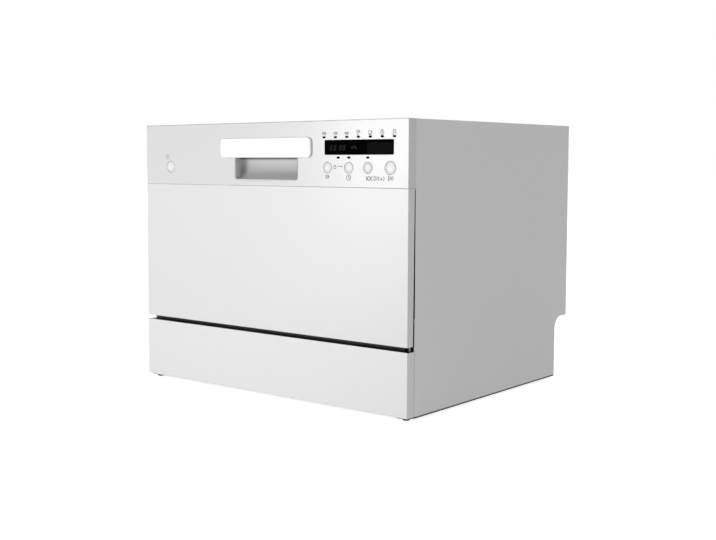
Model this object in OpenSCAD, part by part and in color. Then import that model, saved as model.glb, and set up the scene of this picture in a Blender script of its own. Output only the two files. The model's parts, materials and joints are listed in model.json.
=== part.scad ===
// Countertop dishwasher, millimetres, +Z up, front towards -Y.
// The origin is the centre of the footprint, on the surface that the feet stand on.

/* [Cabinet] */
// Width over the casing's sides
body_w = 550; // [540:1:560]
// Height from the floor to the top
body_h = 438; // [434:1:446]
// Depth from the front plane to the rear edge
body_d = 488; // [484:1:500]
// Thickness of the casing's sheet
casing_t = 1.2; // [0.8:0.1:1.5]
// Height of the toe panel
toe_h = 96.4; // [94:0.2:98]
// Black gap between the toe panel and the door
toe_gap = 7; // [6.5:0.5:8]
// Height of the control panel
control_h = 99.8; // [98:0.2:101]
// Height of the notch for the hoses at the lower rear
notch_h = 101; // [95:1:110]
// Depth of the notch for the hoses
notch_d = 41; // [38:1:44]

/* [Door and controls] */
// Depth of the side returns of the toe panel and the control panel
return_d = 17.7; // [16:0.1:18]
// How far the pull handle stands out in front
handle_proud = 5; // [4:0.5:6]
// Width of the pull handle
handle_w = 190; // [184:1:194]
// Height of the pull handle
handle_h = 31; // [29:0.5:32]
// Width of the finger cup
cup_w = 131; // [125:1:135]
// Radius of the small buttons
button_r = 8.5; // [7:0.1:9]
// Radius of the power button
power_r = 9.7; // [8:0.1:10.5]
// Radius of the start button
start_r = 10; // [9:0.1:10.5]
// Spacing of the programme lamps
lamp_step = 21.6; // [21:0.1:22]

/* [Inside] */
// Half width of the tub's opening
tub_half = 238; // [234:1:239]
// Height of the dish rack's rim above the floor
rack_rim_z = 290; // [280:1:295]
// Radius swept by the spray arm
spray_r = 183; // [170:1:186]
// Radius of a rack wheel
wheel_r = 11; // [10.5:0.1:11]
// Height of a plate tine
tine_h = 58; // [50:1:62]

/* [Hidden] */
$fn = 64;
eps = 0.01;
over = 20;

// Main planes. A depth, named with _a, is measured behind the front plane.
half_w = body_w / 2;
front_y = (handle_proud - body_d) / 2;
skirt_z = 6;
rim_t = 2.5;
foot_x = 262;
foot_a = [17, 430];
foot_r = 9;
toe_top = skirt_z + toe_h;
door_z = toe_top + toe_gap;
split_z = body_h - control_h;
casing_a = 18.5;
rear_wall_a = body_d - notch_d;
notch_z = skirt_z + notch_h;
notch_r = 22;
rear_face_a = body_d - 3;
cover_half = half_w - casing_t;

// Door hinge axis, and the round heel that lets the door turn inside the cabinet's front edge
hinge_a = 10;
hinge_z = toe_top + 14;
hinge_r = 4;
heel_r = 8;
arm_x = 258.5;
arm_t = 2.5;
bracket_x = 262.5;

// Door build
door_return = [13.9, 16.2];
sheet_t = 1;
panel_t = 2.5;
liner_half = arm_x;
liner_t = 1.2;
liner_z = hinge_z + 0.6;
liner_top = body_h - 7;
liner_a = 24;
plug_a = 48;
plug_half = 232;
plug_z = 140;
plug_top = body_h - 37;
plug_r = 18;

// Tub
tub_a = 26;
tub_back = 440;
tub_t = 1.2;
tub_z = 123;
sill_z = 133;
tub_top = body_h - 30;
tub_r = 20;
tub_floor_x = tub_half - tub_r;
rail_z = 155.4;
rail_a = [62, 425];
spray_at = [0, 235];
filter_at = [70, 130];
salt_at = [-105, 115];
float_at = [160, 80];
heater_r = 165;

// Connectors at the rear, and the anchors of the door's springs
inlet_x = 240;
drain_x = 128;
gland_x = -180;
connector_z = 60;
hose_z = 62;
anchor_a = [208, 213];
anchor_z = 62;

// Controls, heights above the floor
button_z = split_z + 29.1;
button_x = [127.7, 167.9, 203];
start_x = 243.4;
power_x = -214.1;
lamp_x = 120.7;
lamp_z = split_z + 74.5;
low_lamp_x = [147.8, 167.9, 202.7];
low_lamp_z = split_z + 44.1;
lamp_w = 6;
lamp_h = 3;
window_x = [121.8, 249.3];
window_z = [split_z + 48.2, split_z + 70.4];
handle_x = 2;
handle_z = split_z + 59.7;
cup_z = [split_z + 10, split_z + 69.8];
lever_a = 8;
lever_z = handle_z + handle_h / 2 - 2;
latch_x = handle_x;
latch_a = 14;
latch_z = body_h - 15.5;

// Rack
wheel_z = rail_z + wheel_r;
wheel_a = [146, 350];
wheel_x = 226;
wheel_w = 7.5;
axle_r = 2.5;
fit = 0.05;
rack_x = [212, 222];
rack_front = [98, 64];
rack_back = [400, 412];
rack_floor_z = 176;
wire_d = 3.6;
rim_d = 5;
basket_x = [-205, -121];
basket_a = [118, 314];
basket_z = [rack_floor_z + 3, 284];
basket_wall = 2.4;
shelf_x = 210;
shelf_z = 250;
shelf_a = [140, 326];
dispenser_x = [-65, 105];
dispenser_z = [300, 380];
lid_x = [-54, 24];
lid_z = 308;
lid_a = 51.5;
cap_x = 72;
cap_z = 344;

// ---- drawing helpers ----

module from_front() translate([0, front_y, 0]) children();

// Extrudes a (depth, height) outline along X
module across(x0, x1) translate([x0, 0, 0]) rotate([90, 0, 90]) linear_extrude(x1 - x0) children();

// Extrudes an (x, height) outline along the depth
module deep(a0, a1) translate([0, a1, 0]) rotate([90, 0, 0]) linear_extrude(a1 - a0) children();

module box(x, a, z) translate([x[0], a[0], z[0]]) cube([x[1] - x[0], a[1] - a[0], z[1] - z[0]]);

module rounded(x, z, r) {
  translate([x[0] + r, z[0]]) square([x[1] - x[0] - 2 * r, z[1] - z[0]]);
  translate([x[0], z[0] + r]) square([x[1] - x[0], z[1] - z[0] - 2 * r]);
  for (u = [x[0] + r, x[1] - r], v = [z[0] + r, z[1] - r]) translate([u, v]) circle(r);
}

module both_sides() {
  children();
  mirror([1, 0, 0]) children();
}

module rod_x(x0, x1, a, z, r) translate([x0, a, z]) rotate([0, 90, 0]) cylinder(r = r, h = x1 - x0);

module rod_y(x, a0, a1, z, r) translate([x, a1, z]) rotate([90, 0, 0]) cylinder(r = r, h = a1 - a0);

module rod_z(at, z0, z1, r) translate([at[0], at[1], z0]) cylinder(r = r, h = z1 - z0);

// A bar with round ends between two points of the plane
module slot2d(p, q, r) {
  d = q - p;
  translate(p) rotate(atan2(d[1], d[0])) translate([0, -r]) square([norm(d), 2 * r]);
  translate(p) circle(r);
  translate(q) circle(r);
}

// ---- cabinet ----

module notch_outline(grow) {
  r = notch_r + grow;
  translate([rear_wall_a - grow + r, -over]) square([body_d, notch_z + grow + over]);
  translate([rear_wall_a - grow, -over]) square([body_d, notch_z + grow + over - r]);
  translate([rear_wall_a - grow + r, notch_z + grow - r]) circle(r);
}

module outer_casing() {
  inner = half_w - casing_t;
  color("gainsboro") from_front() {
    difference() {
      across(-half_w, half_w) difference() {
        translate([casing_a, skirt_z]) square([body_d - casing_a, body_h - skirt_z]);
        notch_outline(0);
      }
      box([-inner, inner], [0, body_d + over], [0, body_h - casing_t]);
    }
    box([-inner, inner], [casing_a, casing_a + casing_t], [body_h - 5, body_h - casing_t + eps]);
  }
}

// The upper cover, with its row of cooling slots
module rear_panel() {
  color("silver") from_front() difference() {
    box([-cover_half, cover_half], [rear_face_a - sheet_t, rear_face_a], [notch_z, body_h - casing_t]);
    for (x = [-120 : 24 : 120]) deep(rear_face_a - over, rear_face_a + over) slot2d([x, 330], [x, 380], 3);
  }
}

// The bent sheet over the hoses
module notch_hood() {
  color("silver") from_front() across(-cover_half, cover_half) difference() {
    notch_outline(sheet_t);
    notch_outline(0);
    translate([-over, -2 * over]) square([body_d + 2 * over, notch_z - notch_r + 2 * over]);
    translate([rear_face_a - sheet_t, -over]) square([body_d, body_h]);
  }
}

// The lower sheet, open for the inlet, the outlet and the cord
module connector_plate() {
  color("silver") from_front() difference() {
    box([-cover_half, cover_half], [rear_wall_a - sheet_t, rear_wall_a], [skirt_z + 36, notch_z - notch_r]);
    for (hole = [[inlet_x, 16], [drain_x, 12], [gland_x, 8]])
      rod_y(hole[0], rear_wall_a - over, rear_wall_a + over, connector_z, hole[1]);
  }
}

module base_tray() {
  floor_x = half_w - 0.5;
  wall_x = 271;
  wall_t = 2.5;
  wall_top = 42;
  rear_a = rear_wall_a - sheet_t;
  color([0.13, 0.13, 0.14]) from_front() {
    box([-floor_x, floor_x], [20, rear_wall_a], [skirt_z - rim_t, skirt_z]);
    both_sides() box([foot_x - 10, foot_x + 10], [foot_a[0] - 10, 20 + eps], [skirt_z - rim_t, skirt_z]);
    both_sides() box([wall_x - wall_t, wall_x], [20, rear_a], [skirt_z - eps, wall_top]);
    box([-wall_x, wall_x], [rear_a - wall_t, rear_a], [skirt_z - eps, wall_top]);
    box([-wall_x, wall_x], [20, 22], [skirt_z - eps, toe_top - 1]);
    box([-257, 257], [20, 22], [toe_top, hinge_z - 2]);
    both_sides() difference() {
      box([252, wall_x], anchor_a, [skirt_z - eps, anchor_z + 8]);
      rod_y(arm_x + arm_t / 2, anchor_a[0] - over, anchor_a[1] + over, anchor_z, 2.8);
    }
  }
}

module feet() {
  color([0.08, 0.08, 0.08]) from_front()
    for (x = [-foot_x, foot_x], a = foot_a) rod_z([x, a], 0, skirt_z - rim_t, foot_r);
}

module toe_panel() {
  t = casing_t;
  color("white") from_front() difference() {
    box([-half_w, half_w], [0, return_d], [skirt_z, toe_top]);
    box([-half_w + t, half_w - t], [t, return_d + over], [skirt_z + t, toe_top - t]);
  }
  color("white") from_front() both_sides()
    for (z = [skirt_z, toe_top - t]) box([150, 180], [return_d - eps, 20], [z, z + t]);
}

// ---- tub and what is fixed to it ----

module sump_outline(grow) {
  translate([spray_at[0], spray_at[1]]) circle(31.5 + grow);
  translate([filter_at[0], filter_at[1]]) circle(49.5 + grow);
  d = filter_at - spray_at;
  translate(spray_at) rotate(atan2(d[1], d[0])) translate([0, -25 - grow]) square([norm(d), 50 + 2 * grow]);
}

// The drawn shell: both walls, the roof and the back in one, open below between its rounded lower edges
module tub() {
  back = tub_back + tub_t;
  color("silver") from_front() difference() {
    deep(tub_a + tub_t, back)
      rounded([-tub_half - tub_t, tub_half + tub_t], [tub_z - tub_t, tub_top + tub_t], tub_r + tub_t);
    deep(tub_a, tub_back) rounded([-tub_half, tub_half], [tub_z, tub_top], tub_r);
    box([-tub_floor_x, tub_floor_x], [tub_a, tub_back], [tub_z - over, tub_z + eps]);
  }
}

module tub_floor() {
  color("silver") from_front() difference() {
    box([-tub_floor_x, tub_floor_x], [tub_a + tub_t, tub_back], [tub_z - tub_t, tub_z]);
    translate([0, 0, tub_z - over]) linear_extrude(2 * over) sump_outline(1);
    rod_z(salt_at, tub_z - over, tub_z + over, 31);
    rod_z(float_at, tub_z - over, tub_z + over, 4);
    for (s = [-1, 1]) rod_z(spray_at + [s * heater_r, 0], tub_z - over, tub_z + over, 4.8);
  }
}

// The flange welded round the tub's mouth, narrower below, where the hinge brackets stand
module tub_frame() {
  flange_x = 267;
  low_flange_x = 257;
  color("silver") from_front() difference() {
    deep(tub_a, tub_a + tub_t) union() {
      rounded([-flange_x, flange_x], [170, body_h - 4], 3);
      rounded([-low_flange_x, low_flange_x], [tub_z - 6, 200], 3);
    }
    deep(tub_a - over, tub_a + over) rounded([-tub_half, tub_half], [sill_z, tub_top], tub_r);
    deep(tub_a - over, tub_a + over) translate([latch_x - 6, body_h - 21]) square([12, 15]);
  }
}

module tub_seal() {
  w = 8;
  inner = tub_half + 3;
  color([0.1, 0.1, 0.1]) from_front() deep(liner_a + 0.3, tub_a) difference() {
    rounded([-inner - w, inner + w], [sill_z, tub_top + 8], tub_r + w);
    rounded([-inner, inner], [sill_z - 2 * w, tub_top + 2], tub_r);
  }
}

module rack_rails() {
  rail_w = 15;
  rail_t = 3;
  color([0.85, 0.85, 0.86]) from_front() both_sides() {
    box([tub_half - rail_w, tub_half], rail_a, [rail_z - rail_t, rail_z]);
    box([tub_half - 2, tub_half], rail_a, [rail_z - 3 * rail_t, rail_z - rail_t + eps]);
    for (a = [rail_a[0] : (rail_a[1] - rail_a[0] - 3) / 6 : rail_a[1]])
      box([tub_half - rail_w, tub_half], [a, a + 3], [rail_z - 2 * rail_t, rail_z - rail_t + eps]);
  }
}

module latch_strike() {
  t = 1.5;
  plate_a = tub_a + tub_t;
  pin_a = 37.5;
  pin_z = latch_z + 5;
  color("darkgray") from_front() {
    deep(plate_a, plate_a + t) difference() {
      rounded([latch_x - 18, latch_x + 18], [tub_top + 2, body_h - 5], 2);
      translate([latch_x - 6, body_h - 23]) square([12, 17]);
    }
    for (x = [latch_x - 9, latch_x + 7.5]) box([x, x + t], [plate_a + t - eps, 43], [pin_z - 6, pin_z + 5]);
    rod_x(latch_x - 8, latch_x + 8, pin_a, pin_z, 2);
  }
}

module hinge_bracket() {
  neck = [22.2, 34];
  foot_a = [22.2, 74];
  color("darkgray") from_front() {
    across(bracket_x, bracket_x + arm_t) {
      polygon([[neck[0], skirt_z], [foot_a[1], skirt_z], [foot_a[1], 30], [neck[1], 80],
        [neck[1], hinge_z + 6], [hinge_a, hinge_z + 6], [hinge_a, hinge_z - 6], [neck[0], hinge_z - 6]]);
      translate([hinge_a, hinge_z]) circle(6);
    }
    box([248, bracket_x + eps], [26, foot_a[1]], [skirt_z, skirt_z + arm_t]);
    rod_x(arm_x + 0.3, bracket_x + 1, hinge_a, hinge_z, hinge_r);
    rod_x(arm_x + arm_t + 0.2, bracket_x + 1, hinge_a, hinge_z, 6);
    for (a = [38, 62]) rod_z([253, a], skirt_z + arm_t - eps, skirt_z + arm_t + 2.5, 3.5);
  }
}

module hinge_brackets() both_sides() hinge_bracket();

module sump() {
  well_z = 72;
  wall = 3;
  plate_t = 1.5;
  color([0.25, 0.26, 0.28]) from_front() difference() {
    union() {
      translate([0, 0, well_z]) linear_extrude(tub_z - well_z + eps) sump_outline(0);
      translate([0, 0, tub_z]) linear_extrude(plate_t) sump_outline(6);
    }
    rod_z(filter_at, well_z + wall, tub_z + over, 42);
    rod_z(spray_at, well_z + wall, tub_z - 6, 24);
  }
}

module spray_arm_hub() {
  color([0.3, 0.31, 0.33]) from_front() {
    rod_z(spray_at, tub_z + 1.5, 139.5, 17);
    rod_z(spray_at, 139, 155, 8);
    rod_z(spray_at, 153.3, 158, 13);
  }
}

module heater() {
  tube_r = 4.2;
  z = 131;
  at = [spray_at[0], spray_at[1], z];
  color("slategray") from_front() {
    translate(at) rotate_extrude(angle = 180) translate([heater_r, 0]) circle(tube_r);
    both_sides() {
      translate([heater_r, spray_at[1], z]) sphere(tube_r);
      rod_z([heater_r, spray_at[1]], tub_z - 16, z, tube_r);
      rod_z([heater_r, spray_at[1]], tub_z - 4.2, tub_z - tub_t, 9);
    }
  }
}

module wash_pump() {
  z = 76;
  color("dimgray") from_front() {
    rod_x(-150, -62, spray_at[1], z, 30);
    rod_x(-62 - eps, -40, spray_at[1], z, 37);
    rod_x(-40 - eps, -31, spray_at[1], z, 14);
    box([-140, -80], [spray_at[1] - 12, spray_at[1] + 12], [skirt_z, z - 20]);
  }
}

module drain_pump() {
  z = 62;
  volute = 128;
  color("dimgray") from_front() {
    rod_x(119.4, 126, filter_at[1], z + 18, 9);
    rod_x(122, 140, filter_at[1], z, 28);
    rod_x(140 - eps, 190, filter_at[1], z, 21);
    rod_y(volute, filter_at[1] + 20, filter_at[1] + 36, z, 8);
    box([145, 180], [filter_at[1] - 10, filter_at[1] + 10], [skirt_z, z - 12]);
  }
}

module pumps() {
  wash_pump();
  drain_pump();
}

module drain_hose() {
  from_a = filter_at[1] + 36;
  to_a = 420;
  color([0.3, 0.3, 0.32]) from_front() {
    rod_y(drain_x, from_a, to_a, hose_z, 9);
    for (a = [from_a + 14 : 12 : to_a - 12]) rod_y(drain_x, a, a + 6, hose_z, 10.5);
  }
}

module drain_outlet() {
  color([0.2, 0.2, 0.22]) from_front() difference() {
    union() {
      rod_y(drain_x, 420, 446, hose_z, 11);
      rod_y(drain_x, rear_wall_a, rear_wall_a + 3, 60, 17);
      rod_y(drain_x, 444, rear_wall_a + 28, 60, 10);
    }
    rod_y(drain_x, 440, rear_wall_a + 40, 60, 7.5);
  }
}

module inlet_valve() {
  color([0.75, 0.77, 0.8]) from_front() difference() {
    union() {
      rod_y(inlet_x, 400, rear_wall_a - 2, connector_z, 15);
      rod_y(inlet_x, rear_wall_a, rear_wall_a + 4, connector_z, 19);
      rod_y(inlet_x, 440, rear_wall_a + 20, connector_z, 13.2);
      rod_z([inlet_x, 415], connector_z, 92, 8);
      box([inlet_x - 34, inlet_x], [402, 438], [connector_z - 14, connector_z + 14]);
    }
    rod_y(inlet_x, rear_wall_a - 5, rear_wall_a + over + 10, connector_z, 9.5);
  }
}

module inlet_hose() {
  color([0.4, 0.42, 0.45]) from_front() {
    rod_z([inlet_x, 415], 92, 104, 7);
    translate([inlet_x, 415, 104]) sphere(7);
    translate([inlet_x, 415, 104]) rotate([0, atan2(16, 26), 0]) cylinder(r = 7, h = norm([16, 26]));
    translate([inlet_x + 16, 415, 130]) sphere(7);
    rod_z([inlet_x + 16, 415], 130, 150, 7);
  }
}

module hoses() {
  drain_hose();
  inlet_hose();
}

module air_breather() {
  color([0.9, 0.9, 0.88]) from_front() {
    across(tub_half + tub_t, 264) rounded([240, 425], [150, 390], 12);
    for (z = [180 : 30 : 360]) box([264 - eps, 267], [252, 413], [z, z + 6]);
  }
}

module water_softener() {
  color([0.88, 0.89, 0.9]) from_front() difference() {
    union() {
      box([-190, -45], [50, 190], [skirt_z, 98]);
      rod_z(salt_at, 98 - eps, tub_z + 0.6, 30);
    }
    rod_z(salt_at, 30, tub_z + over, 25);
  }
}

module cord_gland() {
  color([0.1, 0.1, 0.1]) from_front() difference() {
    union() {
      rod_y(gland_x, rear_wall_a - 8, rear_wall_a + 8, connector_z, 7.5);
      rod_y(gland_x, rear_wall_a, rear_wall_a + 3, connector_z, 12);
    }
    rod_y(gland_x, rear_wall_a - over, rear_wall_a + over, connector_z, 4);
  }
}

module casing_screws() {
  head_a = body_d - 3;
  color("gray") from_front() {
    for (x = [-250, -90, 90, 250], z = [notch_z + 36, body_h - 16]) {
      rod_y(x, head_a, head_a + 2.4, z, 4.5);
      rod_y(x, head_a - 8, head_a + eps, z, 1.9);
    }
    for (x = [-240, 150]) rod_y(x, rear_wall_a, rear_wall_a + 2.4, 76, 4.5);
  }
}

// ---- door ----

// The door's return at its lower rear, cut back to a circle about the hinge axis
// The door's side returns draw back towards the hinge, so that they clear the casing as the door turns
module door_side_outline(top) {
  difference() {
    polygon([[0, door_z], [door_return[0], door_z], [door_return[1], top], [0, top]]);
    difference() {
      translate([hinge_a, door_z - over]) square([over, hinge_z - door_z + over]);
      translate([hinge_a, hinge_z]) circle(heel_r);
    }
  }
}

module door_outer_panel() {
  top = split_z - 0.3;
  inner = half_w - sheet_t;
  color("white") from_front() {
    difference() {
      across(-half_w, half_w) door_side_outline(top);
      box([-inner, inner], [sheet_t, return_d + over], [door_z - over, top + over]);
    }
    box([-250, 250], [sheet_t - eps, 13.5], [door_z, door_z + sheet_t]);
    box([-250, 250], [sheet_t - eps, 10], [top - sheet_t, top]);
  }
}

module lamp_outline(x, z, grow) {
  r = lamp_h / 2 + grow;
  slot2d([x - lamp_w / 2 + lamp_h / 2, z], [x + lamp_w / 2 - lamp_h / 2, z], r);
}

module all_lamps(grow) {
  for (i = [0 : 6]) lamp_outline(lamp_x + i * lamp_step, lamp_z, grow);
  for (x = low_lamp_x) lamp_outline(x, low_lamp_z, grow);
}

module control_panel() {
  inner = half_w - panel_t;
  depth = return_d + 0.5;
  color("white") from_front() difference() {
    union() {
      difference() {
        box([-half_w, half_w], [0, depth], [split_z, body_h]);
        box([-inner, inner], [panel_t, depth + over], [split_z - over, body_h - panel_t]);
      }
      box([-250, 250], [panel_t - eps, 10], [split_z, split_z + 2]);
      for (x = [112, 250.5], z = [split_z + 11, split_z + 86]) rod_y(x, panel_t - eps, 10, z, 2.5);
      for (z = [split_z + 13, split_z + 45]) rod_y(power_x, panel_t - eps, 10, z, 2.5);
    }
    deep(-over, over) {
      rounded([handle_x - cup_w / 2 - 1.7, handle_x + cup_w / 2 + 1.7], [cup_z[0] - 1.7, cup_z[1]], 5.7);
      rounded([window_x[0] - 0.15, window_x[1] + 0.15], [window_z[0] - 0.15, window_z[1] + 0.15], 2.5);
      for (x = button_x) translate([x, button_z]) circle(button_r + 0.3);
      translate([start_x, button_z]) circle(start_r + 0.3);
      translate([power_x, button_z]) circle(power_r + 0.3);
      all_lamps(0.1);
    }
  }
}

module door_liner() {
  wall = liner_half - liner_t;
  plug_inner = plug_half - liner_t;
  color("silver") from_front() difference() {
    union() {
      across(-liner_half, liner_half) polygon([[sheet_t, liner_z], [liner_a, liner_z], [liner_a, liner_top],
        [panel_t, liner_top], [panel_t, split_z - 1], [sheet_t, split_z - 1]]);
      deep(liner_a - eps, plug_a) rounded([-plug_half, plug_half], [plug_z, plug_top], plug_r);
    }
    box([-wall, wall], [-over, liner_a - liner_t], [liner_z + liner_t, liner_top - liner_t]);
    box([-250.5, 250.5], [-over, 10.5], [split_z - 3, split_z + 3]);
    deep(0, plug_a - liner_t)
      rounded([-plug_inner, plug_inner], [plug_z + liner_t, plug_top - liner_t], plug_r - liner_t);
    deep(liner_a, plug_a + over)
      rounded([dispenser_x[0] + 5, dispenser_x[1] - 5], [dispenser_z[0] + 4, dispenser_z[1] - 4], 5);
    box([latch_x - 5.5, latch_x + 5.5], [liner_a - over, liner_a + over], [latch_z - 6, latch_z + 6.9]);
  }
}

module door_bottom_seal() {
  color([0.08, 0.08, 0.08]) from_front() across(-250, 250) intersection() {
    translate([hinge_a - 4, door_z + sheet_t]) square([8, liner_z - door_z - sheet_t]);
    translate([hinge_a, hinge_z]) circle(heel_r);
  }
}

module hinge_arm() {
  tail = [hinge_a + 30, hinge_z - 18];
  top = 300;
  color("darkgray") from_front() across(arm_x, arm_x + arm_t) difference() {
    union() {
      translate([hinge_a, hinge_z]) circle(heel_r);
      translate([6, hinge_z]) square([14, top - hinge_z]);
      slot2d([hinge_a, hinge_z], tail, 5.5);
    }
    translate([hinge_a, hinge_z]) circle(hinge_r + fit);
    translate(tail) circle(2);
    for (z = [180, 230, 280]) translate([13, z]) circle(2.2);
  }
}

module hinge_arms() both_sides() hinge_arm();

module door_screws() {
  color("gray") from_front() both_sides() for (z = [180, 230, 280]) {
    rod_x(arm_x + arm_t, arm_x + arm_t + 2.2, 13, z, 4);
    rod_x(arm_x - 9, arm_x + arm_t + eps, 13, z, 1.9);
  }
}

module cup_cavity() {
  depth = 20.5;
  r = 18;
  translate([-over, cup_z[0]]) square([depth - r + over, 60]);
  translate([-over, cup_z[0] + r]) square([depth + over, cup_z[1] - cup_z[0] - r - 1.5]);
  translate([depth - r, cup_z[0] + r]) circle(r);
  translate([panel_t - eps, cup_z[1] - 5]) square([depth - panel_t + eps, 13.5]);
}

module handle_cup() {
  x0 = handle_x - cup_w / 2;
  x1 = handle_x + cup_w / 2;
  wall = 1.5;
  color("darkgray") from_front() difference() {
    union() {
      deep(0.2, 22) rounded([x0 - wall, x1 + wall], [cup_z[0] - wall, cup_z[1] - 0.2], 5.5);
      deep(panel_t, 22) rounded([x0 - 5, x1 + 5], [cup_z[0] - 4.5, cup_z[1] + 10], 5.5);
    }
    intersection() {
      across(x0, x1) cup_cavity();
      deep(-over, 22) rounded([x0, x1], [cup_z[0], cup_z[1] + 12], 4);
    }
    rod_x(x0 - 3.4, x1 + 3.4, lever_a, lever_z, 2 + fit);
  }
}

module handle() {
  x0 = handle_x - handle_w / 2;
  x1 = handle_x + handle_w / 2;
  z0 = handle_z - handle_h / 2;
  corner = 7.5;
  back_a = -0.8;
  // depth of each layer of the bar, and how far its outline is drawn in
  layers = [[back_a, 0], [4 - handle_proud, 0], [1.9 - handle_proud, 0.6], [0.6 - handle_proud, 1.9],
    [0.1 - handle_proud, 4]];
  web_x = cup_w / 2 - 3;
  color("white") from_front() {
    hull() for (l = layers, x = [x0 + corner, x1 - corner], z = [z0 + corner, z0 + handle_h - corner])
      translate([x, l[0], z]) rotate([90, 0, 0]) cylinder(r = corner - l[1], h = 0.1, $fn = 32);
    across(handle_x - web_x, handle_x + web_x) {
      polygon([[back_a - 1, z0 + 4], [1.5, z0 + 4], [lever_a - 1, lever_z - 3], [lever_a - 3, lever_z - 2],
        [lever_a - 3.4, lever_z - 7.5], [back_a - 1, lever_z - 7.5]]);
      translate([lever_a, lever_z]) circle(3.6);
    }
    rod_x(handle_x - cup_w / 2 - 3.2, handle_x + cup_w / 2 + 3.2, lever_a, lever_z, 2);
  }
}

module display_window() {
  lip = 1.6;
  color([0.02, 0.02, 0.03]) from_front() {
    deep(0.1, panel_t + eps) rounded(window_x, window_z, 2.4);
    deep(panel_t, panel_t + 1)
      rounded([window_x[0] - lip, window_x[1] + lip], [window_z[0] - lip, window_z[1] + lip], 2.4);
  }
}

module indicator_lenses() {
  color([0.12, 0.12, 0.13]) from_front() {
    deep(0.05, panel_t + eps) all_lamps(0);
    deep(panel_t, 4.5) {
      rounded([lamp_x - 5, lamp_x + 6 * lamp_step + 4], [lamp_z - 1.6, lamp_z + 2.6], 1);
      rounded([low_lamp_x[0] - 5, low_lamp_x[2] + 5], [low_lamp_z - 1.8, low_lamp_z + 1.8], 1);
    }
  }
}

module panel_lenses() {
  display_window();
  indicator_lenses();
}

module display_board() {
  board_a = 10;
  board_t = 1.6;
  color([0.1, 0.35, 0.2]) from_front() {
    box([108, 255], [board_a, board_a + board_t], [split_z + 7, split_z + 90]);
    box([power_x - 12, power_x + 12], [board_a, board_a + board_t], [split_z + 9, split_z + 49]);
    box([126, 245], [panel_t + 1, board_a + eps], [window_z[0] + 2, window_z[1] - 2]);
    for (x = concat(button_x, [start_x, power_x])) rod_y(x, 8.3, board_a + eps, button_z, 3);
    for (x = [125, 165, 205]) box([x, x + 28], [board_a + board_t - eps, 20], [split_z + 20, split_z + 44]);
  }
}

module door_lock() {
  x = [latch_x - 20, latch_x + 20];
  color([0.16, 0.16, 0.17]) from_front() {
    difference() {
      box(x, [5, liner_a - liner_t], [cup_z[1] + 10.2, liner_top - liner_t]);
      box([latch_x - 5, latch_x + 5], [7, liner_a + over], [cup_z[1] - over, liner_top - 2.5]);
    }
    rod_x(latch_x - 6, latch_x + 6, latch_a, latch_z, 2);
  }
}

module dispenser_body() {
  flange = [plug_a, plug_a + 1.5];
  color([0.86, 0.87, 0.88]) from_front() difference() {
    union() {
      deep(flange[0], flange[1]) rounded(dispenser_x, dispenser_z, 8);
      deep(25, flange[0] + eps)
        rounded([dispenser_x[0] + 5.3, dispenser_x[1] - 5.3], [dispenser_z[0] + 4.3, dispenser_z[1] - 4.3], 5);
      for (x = [lid_x[0] - 5, lid_x[1] + 0.5])
        box([x, x + 4.5], [flange[1] - eps, lid_a + 2.5], [lid_z - 3, lid_z + 3]);
    }
    deep(28, plug_a + over) rounded([lid_x[0] + 4, lid_x[1] - 4], [lid_z + 6, lid_z + 56], 6);
    rod_y(cap_x, 38, plug_a + over, cap_z, 14);
    rod_x(lid_x[0] - 3.5, lid_x[1] + 3.5, lid_a, lid_z, 1.5 + fit);
  }
}

// ---- moving pieces of the door ----

module latch_hook() {
  arm_top = latch_z + 1.5;
  back_a = 45;
  color([0.8, 0.81, 0.82]) from_front() across(latch_x - 4, latch_x + 4) difference() {
    union() {
      translate([latch_a, latch_z]) circle(3.6);
      translate([latch_a, latch_z - 2]) square([back_a - latch_a, 3.5]);
      polygon([[back_a - 4.5, arm_top - 1], [back_a, arm_top - 1], [back_a, arm_top + 4],
        [back_a - 4.5, arm_top + 7]]);
    }
    translate([latch_a, latch_z]) circle(2 + fit);
  }
}

module push_button(x, r) {
  proud = 1;
  slope = 1.7;
  color("white") from_front() {
    translate([x, slope - proud, button_z]) rotate([90, 0, 0]) cylinder(r1 = r, r2 = r - slope, h = slope);
    rod_y(x, slope - proud - eps, 4, button_z, r);
    rod_y(x, 3.4, 5, button_z, r + 2);
    rod_y(x, 5 - eps, 6.9, button_z, 2.5);
  }
}

module button_power() push_button(power_x, power_r);

module button_program() push_button(button_x[0], button_r);

module button_delay() push_button(button_x[1], button_r);

module button_options() push_button(button_x[2], button_r);

module button_start() push_button(start_x, start_r);

module detergent_lid() {
  top = lid_z + 60;
  color([0.93, 0.94, 0.95]) from_front() {
    deep(plug_a + 1.8, plug_a + 4) rounded(lid_x, [lid_z + 2.5, top], 6);
    box([lid_x[0] + 6, lid_x[1] - 6], [lid_a - 1.5, lid_a + 0.5], [lid_z, lid_z + 4]);
    rod_x(lid_x[0] - 3, lid_x[1] + 3, lid_a, lid_z, 1.5);
    box([lid_x[0] + 26, lid_x[1] - 26], [plug_a + 4 - eps, plug_a + 5.5], [top - 8, top - 5]);
  }
}

module rinse_aid_cap() {
  grip_r = 16;
  color([0.2, 0.35, 0.6]) from_front() {
    rod_y(cap_x, 41, plug_a + 2.6, cap_z, 14 - fit);
    rod_y(cap_x, plug_a + 1.8, plug_a + 4, cap_z, grip_r);
    box([cap_x - 2.5, cap_x + 2.5], [plug_a + 4 - eps, plug_a + 8], [cap_z - 13, cap_z + 13]);
  }
}

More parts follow.
